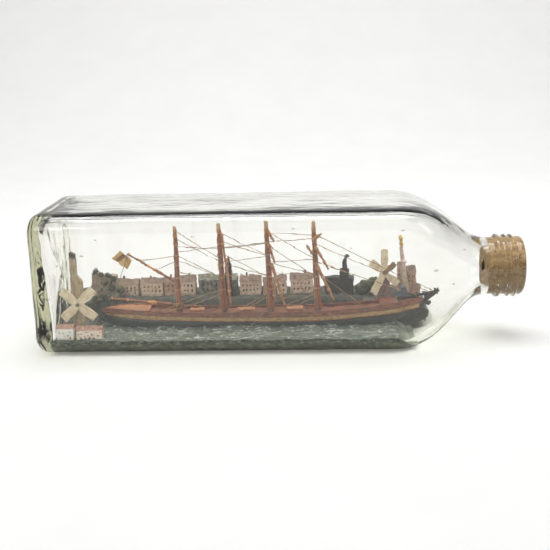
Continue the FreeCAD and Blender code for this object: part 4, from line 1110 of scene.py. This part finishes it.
for i, (a, b, c, d, e, g) in enumerate(ROW):
    (walls2 if i in (2, 5) else walls).add(*carve(*block(a, b, c, d, 17.6, e), 0.22, 3, 0.12, 80 + i))
    roofs_.add(*carve(*roof(a, b, c, d, e - 0.05, g), 0.18, 3, 0.12, 90 + i))
    xc = a + (b - a) * (0.3 + 0.12 * (i % 4))
    roofs_.add(*carve(*block(xc - 0.5, xc + 0.5, (c + d) / 2 - 0.5, (c + d) / 2 + 0.5, g - 1.4, g + 1.2), 0.12, 1, 0.06, 95 + i))
    windows(a, b, c, 18, e, 2.0, 0.7, 1.0, 300 + i * 17)
hall = Bag()
hall.add(*carve(*block(-48.4, -27.6, 14.5, 22.5, 17.6, 26.4), 0.25, 3, 0.14, 99))
hall.add(*carve(*roof(-48.4, -27.6, 14.5, 22.5, 26.35, 29.2, 0.3), 0.2, 3, 0.12, 98))
windows(-48.0, -34.0, 14.5, 18, 26.4, 2.4, 0.8, 1.3, 777)
new_mesh("row_walls", walls.v, walls.f, M_WALL, "root", ["town_houses"], False, "wall_paint")
new_mesh("row_walls_brown", walls2.v, walls2.f, M_WALL2, "root", (), False, "wall_paint")
new_mesh("row_roofs", roofs_.v, roofs_.f, M_ROOF, "root", ["town_roofs"], False, "roof_paint")
new_mesh("harbour_hall", hall.v, hall.f, M_HALL, "root", (), False, "dark_paint")
v, f = carve(*slab_xz([(-33.8, 17.8), (-29.6, 17.8), (-30.2, 35.0), (-31.6, 40.8), (-33.2, 35.4)], 11.6, 14.0), 0.3, 3, 0.3, 97, 0.4)
new_mesh("dark_tower", v, f, M_DARK, "root", ["town_tower"], False, "dark_paint")
bag = Bag()
bag.add(*carve(*block(20.8, 36.0, 14.5, 21.5, 17.6, 27.0), 0.3, 3, 0.3, 111, 0.4))
bag.add(*carve(*block(28.8, 33.4, 14.5, 19.0, 26.9, 31.0), 0.3, 2, 0.2, 112, 0.4))
bag.add(*tube([(31.1, 16.7, 30.8), (31.1, 16.7, 33.0), (31.2, 16.7, 35.0), (31.3, 16.7, 36.6), (31.9, 16.7, 38.0), (32.9, 16.7, 38.5), (33.5, 16.7, 37.9)], 1.6, 10, True, lambda t: (1 - t) * 0.85 + 0.22))
new_mesh("dark_chapel", bag.v, bag.f, M_DARK, "root", ["chapel"], False, "dark_paint")
bag = Bag()
bag.add(*carve(*slab_xz([(-105.8, 17.6), (-92.4, 17.6), (-92.6, 30.6), (-101.6, 31.4), (-104.0, 34.6), (-105.8, 31.8)], 9.4, 13.5), 0.3, 3, 0.2, 113, 0.4))
new_mesh("old_keep", bag.v, bag.f, M_KEEP, "root", ["keep"], False, "wall_paint")
windows(-103, -93, 9.4, 19, 30, 2.6, 0.9, 1.5, 888)
bag = Bag()
bag.add(*carve(*block(60.2, 64.6, 15.0, 21.0, 17.6, 31.2), 0.2, 2, 0.12, 121))
bag.add(*carve(*block(65.0, 70.4, 15.0, 21.0, 17.6, 28.6), 0.2, 2, 0.12, 122))
bag.add(*carve(*block(67.6, 71.4, 5.6, 8.4, 16.8, 22.6), 0.2, 2, 0.12, 123))
bag.add(*carve(*block(58.2, 66.4, 5.0, 8.0, 16.8, 18.6), 0.15, 2, 0.08, 124))
new_mesh("quay_walls", bag.v, bag.f, M_WALL2, "root", ["quay_houses"], False, "wall_paint")
bag = Bag()
bag.add(*carve(*roof(60.2, 64.6, 15.0, 21.0, 31.15, 34.6, 0.25), 0.15, 2, 0.1, 125))
bag.add(*carve(*roof(65.0, 70.4, 15.0, 21.0, 28.55, 32.0, 0.1), 0.15, 2, 0.1, 126))
bag.add(*carve(*roof(67.6, 71.4, 5.6, 8.4, 22.55, 25.0, 0.25), 0.15, 2, 0.1, 127))
new_mesh("quay_roof_blocks", bag.v, bag.f, M_ROOF, "root", ["quay_roofs"], False, "roof_paint")
v, f = carve(*slab_xz([(58.0, 18.5), (66.6, 18.5), (63.4, 23.4), (61.4, 23.6)], 4.8, 8.2), 0.2, 2, 0.12, 128)
new_mesh("shed_roof_slate", v, f, M_BLUE, "root", (), False, "roof_paint")
windows(65.0, 70.4, 15.0, 22, 28.6, 1.8, 0.7, 0.9, 999)
windows(67.6, 71.4, 5.6, 18, 22.6, 1.6, 0.6, 0.9, 1001)

# cottages at the front
v, f = carve(*block(-116.6, -107.6, -29.6, -24.6, 5.9, 13.6), 0.55, 3, 0.22, 131, 0.35)
new_mesh("white_cottage", v, f, M_WHITE, "root", ["cottages"], False, "white_paint")
v, f = carve(*block(-106.2, -93.2, -29.6, -24.6, 5.7, 12.4), 0.4, 3, 0.2, 132, 0.35)
new_mesh("pink_cottage", v, f, M_PINK, "root", (), False, "white_paint")
v, f = carve(*block(-93.3, -92.9, -29.2, -24.8, 6.0, 12.3), 0.1, 2, 0.06, 135, 0.4)
new_mesh("cottage_gable_end", v, f, M_WALL2, "root", (), False, "wall_paint")
bag = Bag()
bag.add(*carve(*roof(-116.6, -107.6, -29.6, -24.6, 13.4, 15.3, 0.25), 0.25, 3, 0.16, 133))
bag.add(*carve(*roof(-106.2, -93.2, -29.6, -24.6, 12.2, 14.4, 0.25), 0.25, 3, 0.16, 134))
new_mesh("cottage_roof_blocks", bag.v, bag.f, M_ROOF_RED, "root", ["cottage_roofs"], False, "roof_paint")
for i, (x, z, q) in enumerate([(-104.9, 10.3, 0.5), (-103.7, 8.2, 0.6), (-101.6, 8.0, 0.65), (-99.4, 8.3, 0.7), (-97.3, 8.1, 0.6), (-98.4, 10.2, 0.45), (-95.2, 9.6, 0.5), (-95.6, 7.6, 0.4)]):
    wins.add(*carve(*block(x - q * 0.7, x + q * 0.6, -29.8, -29.4, z - q * 0.7, z + q * 0.8), 0.08, 0, 0.12, 140 + i, 0.8))
for i, (x, z, q) in enumerate([(-114.8, 11.2, 0.3), (-112.9, 11.0, 0.25), (-110.4, 9.9, 0.3), (-109.2, 11.6, 0.25), (-109.4, 8.4, 0.35)]):
    wins.add(*carve(*block(x - q, x + q, -29.8, -29.4, z - q, z + q), 0.06, 0, 0.08, 150 + i, 0.8))
new_mesh("window_marks", wins.v, wins.f, M_WINDOW, "root", (), False, "roof_paint")


# ---------------------------------------------------------------- trees
def foliage(bag, x, y, z, r, seed, zmin):
    rr = random.Random(seed)
    for k in range(9):
        bm = bmesh.new()
        bmesh.ops.create_icosphere(bm, subdivisions=3, radius=1.0)
        q = r * rr.uniform(0.42, 0.68)
        cx, cy, cz = x + rr.uniform(-0.5, 0.5) * r, y + rr.uniform(-0.4, 0.4) * r, z + rr.uniform(-0.45, 0.5) * r
        vs = []
        for b in bm.verts:
            d = 1 + 0.30 * fbm(b.co.x * 2, b.co.y * 2, b.co.z * 2, 1.1, 3, seed + k)
            p = (cx + b.co.x * q * d, cy + b.co.y * q * d, max(zmin, cz + b.co.z * q * d))
            vs.append(p)
        bag.add(vs, [[b.index for b in fc.verts] for fc in bm.faces])
        bm.free()


bag = Bag()
for i, (x, y, z, r) in enumerate([(39.8, 14, 20.5, 3.4), (43.2, 15, 21.6, 3.8), (46.8, 14, 24.6, 3.0), (46.0, 14.5, 20.6, 3.4), (-103.6, 9.6, 33.2, 1.7), (-100.6, 9.2, 31.4, 1.5), (-96.6, 9.2, 31.0, 1.8), (-93.6, 9.0, 29.0, 1.7), (-94.6, 8.8, 24.4, 2.0), (-98.2, 8.8, 26.6, 1.6), (-90.4, 10.0, 22.6, 2.4), (-101.5, 4.6, 19.4, 2.9), (-97.0, 5.2, 19.2, 2.6), (-92.4, 4.8, 19.0, 2.4)]):
    foliage(bag, x, y, z, r, 400 + i, 17.6)
new_mesh("tree_clumps", bag.v, bag.f, M_LEAF, "root", ["trees"], True, "foliage")


# ---------------------------------------------------------------- putty sea and shore
def wall_y(z):
    """How far the putty may reach towards the glass at this height."""
    if z < 9.5:
        dz = 9.5 - z
        w = 26.5 + math.sqrt(max(0.0, 6.08 * 6.08 - dz * dz))
        return w if z > 3.4 else min(w, 31.2 - (3.4 - z) * 3.0)
    return 32.58


def half_at(x):
    if x <= 56:
        return 32.2
    return curve([(56, 32.2), (64.4, 31.4), (72, 29.0), (79, 25.0), (84, 21.0)], x, 1)


def sea_h(x, y):
    w = 0.75 * fbm(x * 0.55, y, 0, 0.23, 3, 2.0)
    r1 = 1 - abs(nz(x * 0.5, y * 1.3, 0, 0.26, 8.0)) * 2.2
    r2 = 1 - abs(nz(x * 0.7, y * 1.5, 0, 0.52, 12.0)) * 2.2
    h = 7.1 + w + 0.75 * max(0, r1) ** 2 + 0.42 * max(0, r2) ** 2
    hull_b = curve(ST, max(-97.5, min(71.2, x)), 1)
    d = abs(y - SY) - hull_b
    if -98 < x < 71:
        h += 0.9 * math.exp(-max(0, d) / 1.2)
    crest_and_painted_front_light = max(0, r1) ** 3 * 0.75 + max(0, r2) ** 3 * 0.45 - 0.1
    edge = smooth((64.5 + 2.2 * nz(y, 3, 0, 0.12, 3) - x) / 9.0)
    return 3.9 + (h - 3.9) * edge, crest_and_painted_front_light


def grid_solid(name, x0, x1, y0, y1, nx, ny, height, material, replaces, slot, bottom=3.44, keep=None):
    v, f, crest_and_painted_front_light = [], [], []
    idx = {}
    for i in range(nx + 1):
        for j in range(ny + 1):
            x = x0 + (x1 - x0) * i / nx
            y = y0 + (y1 - y0) * j / ny
            h, c = height(x, y)
            lim = wall_y(h) - (32.2 - half_at(x))
            yy = max(-lim, min(lim, y))
            idx[i, j] = len(v)
            v.append((x, yy, h))
            crest_and_painted_front_light.append(c)
    top = {}
    for i in range(nx):
        for j in range(ny):
            q = [idx[i, j], idx[i + 1, j], idx[i + 1, j + 1], idx[i, j + 1]]
            if keep and not keep(sum(v[k][0] for k in q) / 4, sum(v[k][1] for k in q) / 4, sum(v[k][2] for k in q) / 4):
                continue
            f.append(q)
            for a, b in zip(q, q[1:] + q[:1]):
                top[a, b] = 1
    # skirt down the open edges
    rim = [(a, b) for (a, b) in top if (b, a) not in top]
    low = {}
    levels = 12

    def down(k):
        if k not in low:
            x, y, z = v[k]
            ids = [k]
            for q in range(1, levels + 1):
                zz = z + (bottom - z) * q / levels
                lim = wall_y(zz) - (32.2 - half_at(x))
                ids.append(len(v))
                v.append((x + 0.12 * nz(x, y, zz, 0.8, 7), max(-lim, min(lim, y)), zz))
                # front skirt points (y < -20) get a high value, so the putty's shaded front face is whitened with
                # painted light
                crest_and_painted_front_light.append(0.52 + 0.35 * nz(x * 0.6, y, zz * 1.5, 0.6, 3) if y < -20 else 0.1)
            low[k] = ids
        return low[k]
    for a, b in rim:
        da, db = down(a), down(b)
        for q in range(levels):
            f.append([da[q], da[q + 1], db[q + 1], db[q]])
    o = new_mesh(name, v, f, material, "root", replaces, True, slot, {"crest_and_painted_front_light": crest_and_painted_front_light})
    return o


grid_solid("sea_waves", -119.1, 66.0, -32.58, 10.0, 420, 120, sea_h, M_SEA, ["sea"], "sea_putty")


def shore_h(x, y):
    a = 8.0 + 10.0 * smooth((y - 5.2) / 4.2)
    if x > 36:
        k = smooth((x - 36) / 5)
        a = max(a, 8.0 + 9.0 * k * smooth((y - 2.4) / 2.0))
    if x < -86:
        k = smooth((-86 - x) / 5)
        a = max(a, 8.0 + 10.0 * k * smooth((y - 1.2) / 2.2) * smooth((x + 112) / 6 + 0.4))
    if x < -90:
        k = smooth((-91.6 - x) / 3)
        front = 5.0 + 4.6 * smooth((y + 25.0) / 2.0)
        side = smooth((-98.5 - x) / 2.0) if y > -24 else 1.0
        a2 = (5.2 + (front + 0.6 - 5.2) * side) * k
        a = max(a if y > 1 else 0.0, a2)
    elif y < 3.0 and x < 36:
        a = 0.0
    if y < 1.6 and -90 < x:
        a = 0.0
    a += 0.5 * fbm(x, y, 0, 0.35, 4, 21.0)
    if x > 66:
        a = 17.5 - (x - 66) * 0.6 + 0.4 * fbm(x, y, 0, 0.35, 3, 21.0)
    return min(a, 19.0), 0.0


grid_solid("shore_ground", -119.1, 75.5, -32.0, 32.0, 300, 110, shore_h, M_SHORE, ["shore"], "shore_putty",
           keep=lambda x, y, z: z > (6.2 if y < -24 else 7.6) and (y > 1.8 or x < -90) and not (-98.6 < x and y < 1.4 and y > -23.5))

# ---------------------------------------------------------------- floor, light, camera
me = bpy.data.meshes.new("studio_floor")
v, f = [], []
prof = [(-1.6, 0.0), (0.55, 0.0)] + [(0.55 + 0.5 * math.sin(a), 0.5 - 0.5 * math.cos(a)) for a in [math.pi / 2 * k / 12 for k in range(1, 13)]] + [(1.05, 2.2)]
for y, z in prof:
    v += [(-0.95, y, z - 0.00002), (0.95, y, z - 0.00002)]
for i in range(len(prof) - 1):
    f.append([2 * i, 2 * i + 1, 2 * i + 3, 2 * i + 2])
me.from_pydata(v, [], f)
for p in me.polygons:
    p.use_smooth = True
floor = bpy.data.objects.new("studio_floor", me)
bpy.context.scene.collection.objects.link(floor)
t = NT("studio_paper")
g = t.noise(t.coords(0.02, 0.02, 0.02), 1.0, 3)
t.finish(t.ramp(g, [(0.3, (0.86, 0.86, 0.855, 1)), (0.7, (0.885, 0.885, 0.88, 1))]), 0.9)
me.materials.append(t.m)

w = bpy.data.worlds.new("studio")
bpy.context.scene.world = w
w.use_nodes = True
nt = w.node_tree
nt.nodes.clear()
wo = nt.nodes.new("ShaderNodeOutputWorld")
bg = nt.nodes.new("ShaderNodeBackground")
tc = nt.nodes.new("ShaderNodeTexCoord")
sep = nt.nodes.new("ShaderNodeSeparateXYZ")
nt.links.new(tc.outputs["Generated"], sep.inputs[0])
mr = nt.nodes.new("ShaderNodeMapRange")
mr.inputs["From Min"].default_value = -0.9
mr.inputs["From Max"].default_value = 0.35
mr.inputs["To Min"].default_value = 0.42
mr.inputs["To Max"].default_value = 0.9
nt.links.new(sep.outputs[1], mr.inputs["Value"])
mz = nt.nodes.new("ShaderNodeMapRange")
mz.inputs["From Min"].default_value = 0.0
mz.inputs["From Max"].default_value = 0.9
mz.inputs["To Min"].default_value = 0.42
mz.inputs["To Max"].default_value = 0.98
nt.links.new(sep.outputs[2], mz.inputs["Value"])
mu = nt.nodes.new("ShaderNodeMath")
mu.operation = "MULTIPLY"
nt.links.new(mr.outputs["Result"], mu.inputs[0])
nt.links.new(mz.outputs["Result"], mu.inputs[1])
mx_ = nt.nodes.new("ShaderNodeMapRange")
mx_.inputs["From Min"].default_value = -0.95
mx_.inputs["From Max"].default_value = -0.2
mx_.inputs["To Min"].default_value = 0.25
mx_.inputs["To Max"].default_value = 1.0
ab = nt.nodes.new("ShaderNodeMath")
ab.operation = "ABSOLUTE"
nt.links.new(sep.outputs[0], ab.inputs[0])
ng = nt.nodes.new("ShaderNodeMath")
ng.operation = "MULTIPLY"
ng.inputs[1].default_value = -1.0
nt.links.new(ab.outputs[0], ng.inputs[0])
nt.links.new(ng.outputs[0], mx_.inputs["Value"])
mu2 = nt.nodes.new("ShaderNodeMath")
mu2.operation = "MULTIPLY"
nt.links.new(mu.outputs[0], mu2.inputs[0])
nt.links.new(mx_.outputs["Result"], mu2.inputs[1])
nt.links.new(mu2.outputs[0], bg.inputs["Strength"])
bg.inputs["Color"].default_value = (1.0, 0.995, 0.985, 1)
nt.links.new(bg.outputs[0], wo.inputs[0])


def area(name, loc, target, size, size_y, power, col=(1, 1, 1)):
    d = bpy.data.lights.new(name, "AREA")
    d.shape = "RECTANGLE"
    d.size, d.size_y, d.energy, d.color = size, size_y, power, col
    o = bpy.data.objects.new(name, d)
    bpy.context.scene.collection.objects.link(o)
    o.location = loc
    o.rotation_mode = "QUATERNION"
    o.rotation_quaternion = (Vector(target) - Vector(loc)).to_track_quat("-Z", "Y")
    return o


area("top_softbox", (0.05, 0.12, 0.95), (0, 0, 0.03), 0.9, 0.55, 4.9)
area("backdrop_wash", (0, 0.42, 1.15), (0, 0.9, 0.05), 1.6, 0.3, 5.2)
area("front_softbox", (-0.55, -0.75, 0.55), (0, 0, 0.03), 0.45, 0.35, 2.2, (1, 0.985, 0.96))
area("right_softbox", (0.85, -0.25, 0.5), (0.02, 0, 0.03), 0.3, 0.5, 0.9)

cam = bpy.data.cameras.new("camera")
co = bpy.data.objects.new("camera", cam)
bpy.context.scene.collection.objects.link(co)
YAW, PIT, ROLL = 0.0469, 0.25, -0.0247
fwd = Vector((-math.sin(YAW) * math.cos(PIT), math.cos(YAW) * math.cos(PIT), -math.sin(PIT)))
right0 = Vector((math.cos(YAW), math.sin(YAW), 0))
up0 = right0.cross(fwd)
R = right0 * math.cos(ROLL) + up0 * math.sin(ROLL)
U = -right0 * math.sin(ROLL) + up0 * math.cos(ROLL)
mw = Matrix((R, U, -fwd)).transposed().to_4x4()
mw.translation = Vector(((16.92 + CX) * MM, -485.99 * MM, 156.5 * MM))
co.matrix_world = mw
cam.sensor_width = 36.0
cam.lens = 950.0 / 550.0 * 36.0
cam.clip_start, cam.clip_end = 0.01, 20.0
cam.dof.use_dof = False
sc = bpy.context.scene
sc.camera = co
sc.view_settings.view_transform = "Standard"
sc.view_settings.look = "None"
sc.view_settings.exposure = 0.0
sc.cycles.max_bounces = 16
sc.cycles.transmission_bounces = 14
sc.cycles.transparent_max_bounces = 16
sc.cycles.glossy_bounces = 6
sc.cycles.diffuse_bounces = 4
sc.cycles.caustics_refractive = True
sc.cycles.caustics_reflective = False
sc.cycles.sample_clamp_indirect = 6.0
